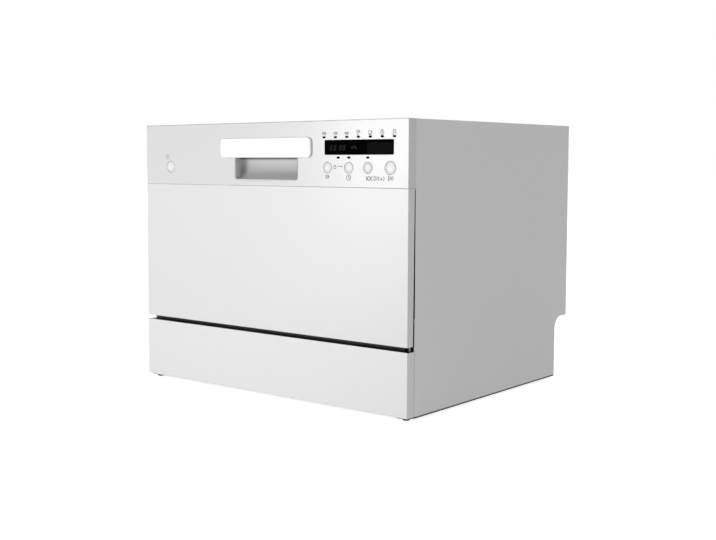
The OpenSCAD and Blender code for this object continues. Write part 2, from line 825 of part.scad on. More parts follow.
module hinge_springs() {
  start = [hinge_a + 35.8, hinge_z - 19.2];
  stop = [anchor_a[1] + 1, anchor_z];
  d = stop - start;
  tilt = atan2(d[1], d[0]);
  at = [arm_x + arm_t / 2, start[0], start[1]];
  color("gray") from_front() both_sides() translate(at) rotate([tilt - 90, 0, 0]) {
    cylinder(r = 1, h = norm(d));
    translate([0, 0, norm(d) - 0.5]) cylinder(r = 3.4, h = 1.5);
    for (i = [0 : 23]) translate([0, 0, 20 + i * 5]) cylinder(r = 5, h = 3.4);
  }
}

// ---- rack ----

// A straight wire of round section, drawn with six sides
module wire(p, q, d) {
  v = q - p;
  translate(p) rotate([0, acos(v[2] / norm(v)), atan2(v[1], v[0])]) translate([0, 0, -d / 3])
    cylinder(d = d, h = norm(v) + 2 * d / 3, $fn = 6);
}

// s runs from 0 at the rack's floor to 1 at its rim, and the basket opens out with it
function side_at(s) = rack_x[0] + (rack_x[1] - rack_x[0]) * s;
function front_at(s) = rack_front[0] + (rack_front[1] - rack_front[0]) * s;
function back_at(s) = rack_back[0] + (rack_back[1] - rack_back[0]) * s;
function height_at(s) = rack_floor_z + (rack_rim_z - rack_floor_z) * s;

rack_wire_x = [-174 : 58 : 174];
rack_wire_a = [115 : 54 : 385];
cross_lift = wire_d * 0.8;

module coated() color([0.85, 0.87, 0.9]) from_front() children();

module rack_floor() coated() {
  for (x = rack_wire_x) wire([x, front_at(0), height_at(0)], [x, back_at(0), height_at(0)], wire_d);
  for (a = rack_wire_a) translate([0, a, height_at(0) - cross_lift])
    wire([-side_at(0), 0, 0], [side_at(0), 0, 0], wire_d);
}

// An end of the rack, with the rim's tube across it and an upright wire over each wire of the floor
module rack_end(at_rim, at_floor) coated() {
  wire([-side_at(1), at_rim, height_at(1)], [side_at(1), at_rim, height_at(1)], rim_d);
  for (x = rack_wire_x) wire([x, at_rim, height_at(1)], [x, at_floor, height_at(0)], wire_d);
}

module rack_ends() {
  rack_end(front_at(1), front_at(0));
  rack_end(back_at(1), back_at(0));
}

module rack_sides() coated() both_sides() {
  wire([side_at(1), front_at(1), height_at(1)], [side_at(1), back_at(1), height_at(1)], rim_d);
  for (a = rack_wire_a)
    wire([side_at(1), a, height_at(1)], [side_at(0), a, height_at(0) - cross_lift], wire_d);
}

// Four rows of tines, each a comb on a bar of its own
module plate_tines() coated() for (x = [-88, -28, 32, 92]) {
  wire([x, 110, rack_floor_z], [x, 390, rack_floor_z], wire_d);
  for (a = [130 : 32 : 354]) wire([x, a, rack_floor_z], [x, a, rack_floor_z + tine_h], wire_d * 0.9);
}

module rack_fittings() {
  color([0.6, 0.62, 0.65]) from_front() both_sides() for (a = wheel_a) {
    box([rack_x[0] - 4, wheel_x - 2], [a - 14, a + 14], [rail_z + 4, rack_floor_z + 5]);
    rod_x(wheel_x - 2 - eps, wheel_x + wheel_w + 1, a, wheel_z, axle_r);
    rod_x(wheel_x + wheel_w + 0.4, wheel_x + wheel_w + 1.8, a, wheel_z, 4.5);
  }
  color([0.6, 0.62, 0.65]) from_front() for (end = [[shelf_a[0] - 8, 6], [shelf_a[1] + 2, -8]]) {
    box([shelf_x - 5, side_at(0.9)], [end[0], end[0] + 6], [shelf_z - 6, shelf_z + 6]);
    rod_y(shelf_x, end[0] + (end[1] < 0 ? end[1] : 3), end[0] + (end[1] < 0 ? 3 : 14), shelf_z, 2);
  }
}

// The left and the right wheel on one line across the rack
module rack_wheels(a) {
  x1 = wheel_x + wheel_w;
  color([0.55, 0.57, 0.6]) from_front() both_sides() difference() {
    rod_x(wheel_x, x1, a, wheel_z, wheel_r);
    rod_x(wheel_x - over, x1 + over, a, wheel_z, axle_r + fit);
    for (t = [0 : 60 : 300])
      rod_x(wheel_x - over, x1 + over, a + 6.6 * cos(t), wheel_z + 6.6 * sin(t), 1.5);
  }
}

module rack_wheels_front() rack_wheels(wheel_a[0]);

module rack_wheels_rear() rack_wheels(wheel_a[1]);

module cup_shelf() {
  reach = 92;
  t = 3;
  inner = shelf_x - reach;
  color([0.6, 0.62, 0.65]) from_front() difference() {
    union() {
      box([inner, shelf_x], shelf_a, [shelf_z - t / 2, shelf_z + t / 2]);
      box([inner, inner + 3], shelf_a, [shelf_z - t / 2, shelf_z + 7]);
      rod_y(shelf_x, shelf_a[0], shelf_a[1], shelf_z, 4);
    }
    for (a = [shelf_a[0] + 12 : 18 : shelf_a[1] - 14])
      box([inner + 10, shelf_x - 12], [a, a + 9], [shelf_z - over, shelf_z + over]);
    rod_y(shelf_x, shelf_a[0] - over, shelf_a[1] + over, shelf_z, 2 + fit);
  }
}

module cutlery_basket() {
  x = basket_x;
  a = basket_a;
  z = basket_z;
  wall = basket_wall;
  step = 14;
  pitch = [(x[1] - x[0] - wall) / 2, (a[1] - a[0] - wall) / 4];
  cells = [for (i = [0 : 1], j = [0 : 3]) [x[0] + wall + i * pitch[0], a[0] + wall + j * pitch[1]]];
  cell = [pitch[0] - wall, pitch[1] - wall];
  color([0.62, 0.65, 0.68]) from_front() difference() {
    box(x, a, z);
    for (c = cells) translate([c[0], c[1], z[0] + wall]) cube([cell[0], cell[1], z[1]]);
    for (h = [z[0] + 10 : step : z[1] - 16], c = cells) {
      box([x[0] - over, x[1] + over], [c[1] + 5, c[1] + cell[1] - 5], [h, h + 8]);
      box([c[0] + 5, c[0] + cell[0] - 5], [a[0] - over, a[0] + wall + over], [h, h + 8]);
      box([c[0] + 5, c[0] + cell[0] - 5], [a[1] - wall - over, a[1] + over], [h, h + 8]);
    }
  }
}

// The grip that stands on the basket's middle wall
module basket_handle() {
  mid = (basket_x[0] + basket_x[1]) / 2;
  post_a = [basket_a[0] + 49, basket_a[1] - 53];
  color([0.62, 0.65, 0.68]) from_front() {
    for (a = post_a) box([mid - basket_wall / 2, mid + basket_wall / 2], [a, a + 4], [basket_z[1], 300]);
    box([mid - 4, mid + 4], [post_a[0], post_a[1] + 4], [297, 303]);
  }
}

// ---- loose pieces in the tub ----

module spray_arm() {
  blade_z = [141.5, 149.5];
  hub_w = 20;
  tip_w = 12;
  tip = spray_r - tip_w;
  turn = 24;
  color("lightgray") from_front() translate([spray_at[0], spray_at[1], 0]) rotate(turn) difference() {
    union() {
      translate([0, 0, blade_z[0]]) linear_extrude(blade_z[1] - blade_z[0]) {
        polygon([[-tip, -tip_w], [0, -hub_w], [tip, -tip_w], [tip, tip_w], [0, hub_w], [-tip, tip_w]]);
        for (x = [-tip, tip]) translate([x, 0]) circle(tip_w);
      }
      translate([0, 0, 140]) cylinder(r = 23, h = 13);
    }
    cylinder(r = 8 + fit, h = 200);
    for (s = [-1, 1], i = [0 : 4])
      translate([s * (38 + i * 30), s * (i % 2 == 0 ? 5 : -5), blade_z[0] + 3]) cylinder(r = 1.8, h = over);
  }
}

module filter_cylinder() {
  top = 127;
  color([0.45, 0.47, 0.5]) from_front() translate([filter_at[0], filter_at[1], 0]) {
    difference() {
      union() {
        translate([0, 0, 77]) cylinder(r = 41.5, h = top - 77);
        translate([0, 0, tub_z + 1.7]) cylinder(r = 50, h = top - tub_z - 1.7);
      }
      translate([0, 0, 79]) cylinder(r = 38, h = 100);
    }
    translate([-40, -4, top - 3]) cube([80, 8, 11]);
  }
}

module salt_cap() {
  z0 = tub_z + 0.8;
  color([0.9, 0.9, 0.88]) from_front() translate([salt_at[0], salt_at[1], 0]) {
    translate([0, 0, z0]) cylinder(r = 34, h = 7);
    translate([0, 0, z0 - 12]) cylinder(r = 25 - fit, h = 13);
    translate([-26, -4, z0 + 7 - eps]) cube([52, 8, 6]);
  }
}

module overflow_float() {
  color([0.8, 0.8, 0.78]) from_front() {
    rod_z(float_at, 104, 126, 3);
    rod_z(float_at, tub_z + 1, 138, 20);
    rod_z(float_at, 138 - eps, 143, 16);
  }
}

outer_casing();
rear_panel();
notch_hood();
connector_plate();
base_tray();
toe_panel();
feet();
tub();
tub_floor();
tub_frame();
tub_seal();
rack_rails();
latch_strike();
hinge_brackets();
sump();
spray_arm_hub();
heater();
pumps();
hoses();
drain_outlet();
inlet_valve();
air_breather();
water_softener();
cord_gland();
casing_screws();
door_outer_panel();
control_panel();
door_liner();
door_bottom_seal();
hinge_arms();
door_screws();
handle_cup();
panel_lenses();
display_board();
door_lock();
dispenser_body();
handle();
latch_hook();
button_power();
button_program();
button_delay();
button_options();
button_start();
detergent_lid();
rinse_aid_cap();
hinge_springs();
rack_floor();
rack_ends();
rack_sides();
plate_tines();
rack_fittings();
rack_wheels_front();
rack_wheels_rear();
cup_shelf();
cutlery_basket();
basket_handle();
spray_arm();
filter_cylinder();
salt_cap();
overflow_float();
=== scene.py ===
import json
import math

import bmesh
import bpy
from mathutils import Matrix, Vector


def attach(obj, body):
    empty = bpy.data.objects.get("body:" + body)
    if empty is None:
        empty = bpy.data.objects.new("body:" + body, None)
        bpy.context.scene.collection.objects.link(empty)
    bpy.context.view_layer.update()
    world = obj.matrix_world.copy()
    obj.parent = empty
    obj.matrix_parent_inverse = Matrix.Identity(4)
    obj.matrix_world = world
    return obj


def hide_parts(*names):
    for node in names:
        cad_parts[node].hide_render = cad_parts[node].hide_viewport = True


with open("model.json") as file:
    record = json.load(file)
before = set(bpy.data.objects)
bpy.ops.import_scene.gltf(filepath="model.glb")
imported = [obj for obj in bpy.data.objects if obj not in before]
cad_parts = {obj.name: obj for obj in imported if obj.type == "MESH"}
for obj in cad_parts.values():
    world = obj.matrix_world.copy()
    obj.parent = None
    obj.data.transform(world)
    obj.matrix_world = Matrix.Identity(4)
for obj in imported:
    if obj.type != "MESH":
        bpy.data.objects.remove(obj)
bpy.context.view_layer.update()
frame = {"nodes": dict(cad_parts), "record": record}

# ---- the room ----
# The machine stands alone on a pale seamless floor, seen from the right at about the height of its top.
# A soft lamp in front lights the door more than the side. Two more to the left are mirrored in the right half of
# the control panel and of the door, and the room itself is white, with a dimmer ceiling.

camera = bpy.data.objects.new("camera", bpy.data.cameras.new("camera"))
camera_dip, camera_turn = 4.231, 40.393
camera.location = (1.1762, -1.5424, 0.3777)
camera.rotation_euler = (math.radians(90 - camera_dip), 0, math.radians(camera_turn))
camera.data.sensor_fit = "HORIZONTAL"
camera.data.sensor_width = 36
camera.data.lens = 55.80
camera.data.shift_x = 0.0838
camera.data.shift_y = -0.0380
camera.data.clip_start = 0.01
camera.data.clip_end = 100
bpy.context.collection.objects.link(camera)
scene = bpy.context.scene
scene.camera = camera
scene.view_settings.view_transform = "Standard"


def softbox(name, place, target, width, height, power):
    """A rectangular lamp at a place, turned to a target, with its size in metres and its power in watts."""
    lamp = bpy.data.lights.new(name, "AREA")
    lamp.shape = "RECTANGLE"
    lamp.size = width
    lamp.size_y = height
    lamp.energy = power
    holder = bpy.data.objects.new(name, lamp)
    holder.location = place
    holder.rotation_euler = (Vector(target) - Vector(place)).to_track_quat("-Z", "Y").to_euler()
    bpy.context.collection.objects.link(holder)


softbox("front_softbox", place=(0.50, -1.45, 0.12), target=(0.2, -0.24, 0.12), width=0.5, height=0.2, power=3.2)
softbox("panel_softbox", place=(-0.57, -1.55, 0.50), target=(0.2, -0.24, 0.36), width=0.52, height=0.5, power=8.4)
softbox("door_softbox", place=(-0.76, -1.55, 0.14), target=(0.26, -0.24, 0.24), width=0.24, height=0.26, power=1.0)


def connect(tree, node, **inputs):
    """Joins or sets a node's inputs. _0 is the first of them, and the others go by their names."""
    for name, value in inputs.items():
        socket = node.inputs[int(name[1:]) if name[0] == "_" else name.replace("_", " ")]
        if isinstance(value, bpy.types.NodeSocket):
            tree.links.new(value, socket)
        else:
            socket.default_value = value
    return node


def linked(tree, kind, operation=None, **inputs):
    """Adds a node with its inputs joined or set."""
    made = tree.nodes.new(kind)
    if operation:
        made.operation = operation
    return connect(tree, made, **inputs)


def reckoned(tree, operation, first, second):
    """What a sum of two values comes to."""
    return linked(tree, "ShaderNodeMath", operation, _0=first, _1=second).outputs[0]


def spread(tree, value, low, high, to_low=0.0, to_high=1.0):
    """A value from low to high, spread over another span and held at its ends."""
    return linked(tree, "ShaderNodeMapRange", Value=value, From_Min=low, From_Max=high, To_Min=to_low,
                  To_Max=to_high).outputs[0]


def bright_for_eye(tree):
    """One where a ray from the eye, a reflection or glass arrives, and zero for the light on things."""
    path = tree.nodes.new("ShaderNodeLightPath").outputs
    seen_or_mirrored = reckoned(tree, "MAXIMUM", path["Is Camera Ray"], path["Is Glossy Ray"])
    return reckoned(tree, "MAXIMUM", seen_or_mirrored, path["Is Transmission Ray"])


room_light, ceiling_light = 0.965, 0.42
walls_end, ceiling_starts = 0.05, 0.6
white = (1, 1, 1, 1)
world = bpy.data.worlds.new("white_room")
scene.world = world
world.use_nodes = True
sky = world.node_tree
sky.nodes.clear()
direction = linked(sky, "ShaderNodeSeparateXYZ", _0=sky.nodes.new("ShaderNodeTexCoord").outputs["Generated"])
dimming = spread(sky, direction.outputs["Z"], walls_end, ceiling_starts, room_light, ceiling_light)
lit = linked(sky, "ShaderNodeBackground", Color=white, Strength=dimming)
seen = linked(sky, "ShaderNodeBackground", Color=white, Strength=1.0)
either = linked(sky, "ShaderNodeMixShader", _0=bright_for_eye(sky), _1=lit.outputs[0], _2=seen.outputs[0])
linked(sky, "ShaderNodeOutputWorld", Surface=either.outputs[0])

paper_tone, paper_glow = 0.7, 0.82
floor_material = bpy.data.materials.new("seamless_floor")
floor_material.use_nodes = True
ground = floor_material.node_tree
ground.nodes.clear()
paper = linked(ground, "ShaderNodeBsdfDiffuse", Color=(paper_tone, paper_tone, paper_tone, 1))
dark = linked(ground, "ShaderNodeEmission", Strength=0.0)
glow = linked(ground, "ShaderNodeEmission", Strength=paper_glow)
pick = linked(ground, "ShaderNodeMixShader", _0=bright_for_eye(ground), _1=dark.outputs[0], _2=glow.outputs[0])
both = linked(ground, "ShaderNodeAddShader", _0=paper.outputs[0], _1=pick.outputs[0])
linked(ground, "ShaderNodeOutputMaterial", Surface=both.outputs[0])

floor_reach = 30
floor_corners = [(x * floor_reach, y * floor_reach, 0) for x, y in ((-1, -1), (1, -1), (1, 1), (-1, 1))]
floor_mesh = bpy.data.meshes.new("floor")
floor_mesh.from_pydata(floor_corners, [], [(0, 1, 2, 3)])
floor_mesh.materials.append(floor_material)
floor = bpy.data.objects.new("floor", floor_mesh)
bpy.context.collection.objects.link(floor)

# ---- base ----
# The machine stands on a moulded black base with upright walls, on four short rubber feet.
# Only the thin rim of the base shows, under the white steel.

FRONT = -0.2415


def at(x, a, z):
    """A point from millimetres: across, behind the front plane, above the floor."""
    return Vector((x / 1000, FRONT + a / 1000, z / 1000))


def surface(name, tint, rough, metal=0.0, cloud=7.0, drift=0.02, grain=900.0, gloss=0.05, depth=0.00001,
            stretch=(1, 1, 1), specular=0.5):
    """A finish whose colour drifts over broad patches, with a fine grain in its gloss and its surface."""
    made = bpy.data.materials.new(name)
    made.use_nodes = True
    tree = made.node_tree
    place = tree.nodes.new("ShaderNodeTexCoord")
    turn = linked(tree, "ShaderNodeMapping", Vector=place.outputs["Object"], Scale=stretch)
    patches = linked(tree, "ShaderNodeTexNoise", Vector=turn.outputs[0], Scale=cloud, Detail=3)
    colours = linked(tree, "ShaderNodeValToRGB", Fac=patches.outputs["Fac"])
    darker, paler = colours.color_ramp.elements
    darker.position = 0.3
    darker.color = [c * (1 - drift) for c in tint] + [1]
    paler.position = 0.7
    paler.color = [min(1, c * (1 + drift)) for c in tint] + [1]
    fine = linked(tree, "ShaderNodeTexNoise", Vector=turn.outputs[0], Scale=grain, Detail=2)
    roughness = spread(tree, fine.outputs["Fac"], 0.3, 0.7, max(0.02, rough - gloss), min(1, rough + gloss))
    bump = linked(tree, "ShaderNodeBump", Height=fine.outputs["Fac"], Distance=depth)
    connect(tree, tree.nodes["Principled BSDF"], Base_Color=colours.outputs["Color"], Roughness=roughness,
            Normal=bump.outputs[0], Metallic=metal, Specular_IOR_Level=specular)
    return made


def paint(material, *nodes):
    """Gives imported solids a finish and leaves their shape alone."""
    for node in nodes:
        for holder in frame["nodes"][node].material_slots:
            holder.material = material


body_of = {}
for body, members in frame["record"]["behaviour"]["bodies"].items():
    for node in members:
        body_of[node] = body


def shown(piece, mesh, body, nodes=()):
    """Puts a finished mesh in the scene: it rides on its body and stands for the nodes it was made from."""
    holder = bpy.data.objects.new(piece, mesh)
    mesh.name = piece
    bpy.context.collection.objects.link(holder)
    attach(holder, body)
    if nodes:
        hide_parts(*nodes)
    return holder


def even_shading(mesh, crease=35):
    """Smooth faces that break at creases, with flat faces left flat by weighting normals by area."""
    mesh.shade_smooth()
    mesh.set_sharp_from_angle(angle=math.radians(crease))
    trial = bpy.data.objects.new("trial", mesh)
    bpy.context.collection.objects.link(trial)
    weigh = trial.modifiers.new("weigh", "WEIGHTED_NORMAL")
    weigh.keep_sharp = True
    weigh.weight = 80
    graph = bpy.context.evaluated_depsgraph_get()
    even = bpy.data.meshes.new_from_object(trial.evaluated_get(graph))
    bpy.data.objects.remove(trial)
    return even


def as_mesh(form, name, *materials):
    """Turns a form into a mesh with its materials."""
    mesh = bpy.data.meshes.new(name)
    form.to_mesh(mesh)
    form.free()
    for material in materials:
        mesh.materials.append(material)
    return mesh


def merged(node):
    """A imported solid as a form, with its loose triangles merged and its flat faces joined."""
    form = bmesh.new()
    form.from_mesh(frame["nodes"][node].data)
    bmesh.ops.remove_doubles(form, verts=form.verts, dist=2e-6)
    bmesh.ops.dissolve_limit(form, angle_limit=math.radians(0.4), verts=form.verts, edges=form.edges)
    return form


def in_one_finish(form):
    for face in form.faces:
        face.material_index = 0


least_bend = math.radians(40)


def refined(piece, node, material, rounds=(), crease=35):
    """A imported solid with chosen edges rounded, each round as its radius in mm, its steps and its choice."""
    form = merged(node)
    for radius, steps, choose in rounds:
        chosen = []
        for edge in form.edges:
            if len(edge.link_faces) != 2 or edge.calc_face_angle(0) < least_bend:
                continue
            ends = [(v.co.x * 1000, (v.co.y - FRONT) * 1000, v.co.z * 1000) for v in edge.verts]
            if choose(*ends):
                chosen.append(edge)
        bmesh.ops.bevel(form, geom=chosen, offset=radius / 1000, offset_type="OFFSET", segments=steps,
                        profile=0.5, affect="EDGES", clamp_overlap=True)
    in_one_finish(form)
    mesh = as_mesh(form, piece, material)
    return shown(piece, even_shading(mesh, crease), body_of[node], [node])


def every_edge(p, q):
    return True


black_moulding = surface("black_moulding", (0.028, 0.028, 0.03), 0.55, grain=1400, gloss=0.12, depth=0.00002,
                         specular=0.3)
foot_rubber = surface("foot_rubber", (0.15, 0.15, 0.15), 0.8, grain=2200, gloss=0.1, depth=0.00003, specular=0.3)
paint(black_moulding, "base_tray", "cord_gland")
feet = refined("rubber_feet", "feet", foot_rubber, [(0.6, 3, every_edge)])
foot_across, foot_depths = 0.262, (FRONT + 0.017, FRONT + 0.430)
foot_narrowing, foot_taper_height = 0.52, 0.006
for vertex in feet.data.vertices:
    middle = Vector((math.copysign(foot_across, vertex.co.x),
                     min(foot_depths, key=lambda y: abs(y - vertex.co.y)), vertex.co.z))
    width = foot_narrowing + 0.4 * min(1, vertex.co.z / foot_taper_height)
    vertex.co = middle + (vertex.co - middle) * width

# ---- works under the tub ----
# Pump, drain pump, softener, valve and hoses are bought-in mouldings in grey and pale plastic, screwed and
# clipped to the base. They are closed in by the casing, and only the connectors come out at the rear.

works_plastic = surface("works_plastic", (0.07, 0.073, 0.078), 0.5, grain=1200, gloss=0.1, depth=0.00002)
pale_moulding = surface("pale_moulding", (0.62, 0.63, 0.63), 0.42, grain=1100, gloss=0.08, depth=0.000015)
hose_rubber = surface("hose_rubber", (0.12, 0.125, 0.13), 0.6, grain=1500, gloss=0.1, depth=0.00002)
paint(works_plastic, "sump", "pumps")
paint(pale_moulding, "air_breather", "water_softener")
paint(hose_rubber, "hoses")
refined("inlet_thread", "inlet_valve", pale_moulding, [(0.5, 2, every_edge)])
refined("drain_spigot", "drain_outlet", works_plastic, [(0.5, 2, every_edge)])

# ---- tub ----
# The wash tub is welded from stainless steel with its grain along the depth, with a pressed floor and a flange
# round its mouth. A black rubber gasket lies on the flange, and two pale rails screwed to the walls carry the
# rack's wheels.

tub_steel = surface("tub_steel", (0.56, 0.56, 0.57), 0.27, metal=1.0, cloud=2.0, drift=0.05, grain=30, gloss=0.03,
                    depth=0.0000015, stretch=(40, 1.2, 40))
gasket_rubber = surface("gasket_rubber", (0.022, 0.022, 0.022), 0.7, grain=1600, gloss=0.1, depth=0.00003,
                        specular=0.3)
rail_moulding = surface("rail_moulding", (0.66, 0.67, 0.68), 0.4, grain=1000, gloss=0.07, depth=0.000015)
bright_steel = surface("bright_steel", (0.62, 0.62, 0.63), 0.22, metal=1.0, cloud=25, drift=0.06, grain=600,
                       gloss=0.08, depth=0.000008)
tub_back = 440


def back_edge(p, q):
    return all(abs(v[1] - tub_back) < 0.1 for v in (p, q))


refined("tub_shell", "tub", tub_steel, [(9, 4, back_edge)])
refined("tub_bottom", "tub_floor", tub_steel)
refined("mouth_frame", "tub_frame", tub_steel)
refined("mouth_gasket", "tub_seal", gasket_rubber, [(0.7, 3, every_edge)])
refined("wheel_rails", "rack_rails", rail_moulding, [(0.4, 2, every_edge)])
refined("strike_plate", "latch_strike", bright_steel, [(0.3, 2, every_edge)])

# ---- heater, filter and caps in the tub's floor ----
# A ring of plated tube heats the water. A moulded filter cup twists into the sump, a big screw cap closes the
# salt chamber, and a small float stops the machine if the water stands too high.

refined("heater_ring", "heater", bright_steel, crease=50)
refined("spray_hub", "spray_arm_hub", works_plastic, [(0.8, 3, every_edge)])
filter_grey = surface("filter_grey", (0.16, 0.17, 0.18), 0.45, grain=1000, gloss=0.08, depth=0.00002)
cap_moulding = surface("cap_moulding", (0.68, 0.69, 0.7), 0.36, grain=1100, gloss=0.07, depth=0.000015)
refined("filter_cup_body", "filter_cylinder", filter_grey, [(0.8, 3, every_edge)])
refined("salt_screw_cap", "salt_cap", cap_moulding, [(0.9, 3, every_edge)])
refined("float_bell", "overflow_float", cap_moulding, [(1.5, 4, every_edge)])

# ---- hinges ----
# Pressed arms of dark steel, screwed inside the door, turn on pins in brackets that stand on the base. A coil
# spring at each side pulls the arm's tail back and carries the door's weight.


def coloured(tree, colour):
    """Gives a finish another base colour."""
    connect(tree, tree.nodes["Principled BSDF"], Base_Color=colour)


def spangled(name, tint, rough):
    """Hot-dip zinc: crystals a few millimetres across that differ a little in tone and gloss."""
    made = surface(name, tint, rough, metal=0.9, cloud=12, drift=0.06, grain=900, gloss=0.06, depth=0.000008)
    tree = made.node_tree
    cells = linked(tree, "ShaderNodeTexVoronoi", Vector=tree.nodes["Texture Coordinate"].outputs["Object"],
                   Scale=160)
    tones = linked(tree, "ShaderNodeValToRGB", Fac=cells.outputs["Color"])
    darker, paler = tones.color_ramp.elements
    darker.color = [c * 0.84 for c in tint] + [1]
    paler.color = [min(1, c * 1.12) for c in tint] + [1]
    coloured(tree, tones.outputs["Color"])
    return made


zinc_sheet = spangled("zinc_sheet", (0.52, 0.53, 0.54), 0.42)
hinge_steel = surface("hinge_steel", (0.26, 0.26, 0.27), 0.42, metal=1.0, cloud=40, drift=0.08, grain=700,
                      gloss=0.08, depth=0.00001)
paint(hinge_steel, "hinge_brackets", "hinge_arms")
paint(bright_steel, "hinge_springs", "door_screws")

# ---- casing ----
# One sheet of white powder-coated steel is bent over the top and both sides, with a short lip at the front of
# the roof, and cut away at the lower rear for the hoses. Zinc-coated sheets close the rear, the upper one with
# cooling slots, held by pan-head screws.

powder_white = surface("powder_white", (0.725, 0.725, 0.725), 0.38, cloud=3.0, drift=0.006, grain=1300, gloss=0.05,
                       depth=0.000012, stretch=(1, 1, 0.15))
half_width, full_height = 275, 438


def on_a_side(p, q):
    return min(abs(p[0]), abs(q[0])) > half_width - 0.1


def on_the_top(p, q):
    return min(p[2], q[2]) > full_height - 0.1


def roof_edge(p, q):
    return on_a_side(p, q) and on_the_top(p, q)


refined("casing_sheet", "outer_casing", powder_white, [(1.15, 4, roof_edge)])
refined("rear_cover", "rear_panel", zinc_sheet)
refined("hose_hood", "notch_hood", zinc_sheet)
refined("connector_sheet", "connector_plate", zinc_sheet)


def spun(form, profile, steps, place, closed=False):
    """Rings of points from pairs of radius and height, joined by faces. A radius of zero is a single point."""
    rows = []
    for radius, rise in profile:
        if radius == 0:
            rows.append([form.verts.new(place(0, 0, rise))] * steps)
        else:
            angles = [t * math.tau / steps for t in range(steps)]
            rows.append([form.verts.new(place(radius * math.cos(a), radius * math.sin(a), rise)) for a in angles])
    if closed:
        rows.append(rows[0])
    for first, second in zip(rows, rows[1:]):
        for i in range(steps):
            j = (i + 1) % steps
            form.faces.new(list(dict.fromkeys((first[i], first[j], second[j], second[i]))))
    return rows


def upright(x, y, z):
    """The place of a point that is spun about the upright axis."""
    return x, y, z


def screw_head(radius, height, shaft, length):
    """A pan head on its shaft, standing on the origin and pointing up."""
    form = bmesh.new()
    spun(form, [(0, height), (radius * 0.55, height), (radius * 0.85, height * 0.82), (radius, height * 0.45),
                (radius, 0), (shaft, 0), (shaft, -length), (0, -length)], 24, upright)
    bmesh.ops.recalc_face_normals(form, faces=form.faces)
    return as_mesh(form, "screw_head")


def new_tree(name, inputs):
    """A tree for meshes, with its named inputs, and the sockets at its two ends."""
    tree = bpy.data.node_groups.new(name, "GeometryNodeTree")
    tree.interface.new_socket("Geometry", in_out="INPUT", socket_type="NodeSocketGeometry")
    for label, kind in inputs:
        tree.interface.new_socket(label, in_out="INPUT", socket_type="NodeSocket" + kind)
    tree.interface.new_socket("Geometry", in_out="OUTPUT", socket_type="NodeSocketGeometry")
    return tree, tree.nodes.new("NodeGroupInput").outputs, tree.nodes.new("NodeGroupOutput").inputs


def end_tree(tree, geometry, finish, out):
    """Closes a tree with plain geometry in its finish."""
    whole = linked(tree, "GeometryNodeRealizeInstances", Geometry=geometry)
    coated = linked(tree, "GeometryNodeSetMaterial", Geometry=whole.outputs[0], Material=finish)
    tree.links.new(coated.outputs[0], out["Geometry"])


def grown(mesh, tree, values):
    """Runs a tree on a mesh with its inputs set by their names, and gives back the plain mesh."""
    trial = bpy.data.objects.new("trial", mesh)
    bpy.context.collection.objects.link(trial)
    modifier = trial.modifiers.new("made", "NODES")
    modifier.node_group = tree
    for item in tree.interface.items_tree:
        if item.in_out == "INPUT" and item.name in values:
            modifier[item.identifier] = values[item.name]
    graph = bpy.context.evaluated_depsgraph_get()
    made = bpy.data.meshes.new_from_object(trial.evaluated_get(graph))
    bpy.data.objects.remove(trial)
    return made


copies, given, out = new_tree("copies_in_rows", [("Width", "Float"), ("Height", "Float"), ("Columns", "Int"),
                                                ("Rows", "Int"), ("Centre", "Vector"), ("Turn", "Vector"),
                                                ("Finish", "Material")])
grid = linked(copies, "GeometryNodeMeshGrid", Size_X=given["Width"], Size_Y=given["Height"],
              Vertices_X=given["Columns"], Vertices_Y=given["Rows"])
spots = linked(copies, "GeometryNodeInstanceOnPoints", Points=grid.outputs["Mesh"], Instance=given["Geometry"])
placed = linked(copies, "GeometryNodeTransform", Geometry=spots.outputs[0], Translation=given["Centre"],
                Rotation=given["Turn"])
end_tree(copies, placed.outputs[0], given["Finish"], out)


def joined(piece, meshes, crease=35):
    """Several meshes of one finish as one mesh."""
    form = bmesh.new()
    for part in meshes:
        form.from_mesh(part)
    return even_shading(as_mesh(form, piece, *meshes[0].materials), crease)


to_the_rear = (math.radians(-90), 0, 0)
head_radius, head_height, shaft_radius, shaft_length = 0.0045, 0.0024, 0.0019, 0.008
rear_rows = grown(screw_head(head_radius, head_height, shaft_radius, shaft_length), copies,
                  {"Width": 0.5, "Height": 0.279, "Columns": 4, "Rows": 2, "Centre": at(0, 485, 282.5),
                   "Turn": to_the_rear, "Finish": bright_steel})
low_pair = grown(screw_head(head_radius, head_height, shaft_radius, 0.0), copies,
                 {"Width": 0.39, "Height": 0.0, "Columns": 2, "Rows": 1, "Centre": at(-45, 447, 76),
                  "Turn": to_the_rear, "Finish": bright_steel})
shown("rear_screws", joined("rear_screws", [rear_rows, low_pair]), "cabinet", ["casing_screws"])

# ---- toe panel and door front ----
# Both are pans of enamelled steel with folded sides. The door's pan drops down in front of the toe panel, and
# the black gap between them gives it room to turn.

enamel = surface("enamel", (0.668, 0.668, 0.668), 0.32, cloud=2.5, drift=0.008, grain=420, gloss=0.03,
                 depth=0.000012)
# the toe panel's enamel, a tone paler than the door's, carries painted shade on its upper fold (below)
shade_painted_toe = surface("shade_painted_toe_enamel", (0.695, 0.695, 0.695), 0.32, cloud=2.5, drift=0.008, grain=420,
                      gloss=0.03, depth=0.000012)
sheet = 1.0
toe_bottom, toe_top = 6, 102.4
door_bottom, door_top = 109.4, 337.9


def in_front(p, q):
    return max(p[1], q[1]) < 0.1


def upright_fold(p, q):
    return on_a_side(p, q) and in_front(p, q)


def outer_rim(level):
    """Picks the outer edges of a pan at one height, not those of the sheet's inner face."""
    def choose(p, q):
        return all(abs(v[2] - level) < 0.1 and (v[1] < sheet - 0.05 or abs(v[0]) > half_width - 0.05)
                   for v in (p, q))
    return choose


def spot_on(tree):
    """Where a point lies on its piece, as the sockets X, Y and Z."""
    place = tree.nodes["Texture Coordinate"].outputs["Object"]
    return linked(tree, "ShaderNodeSeparateXYZ", _0=place).outputs


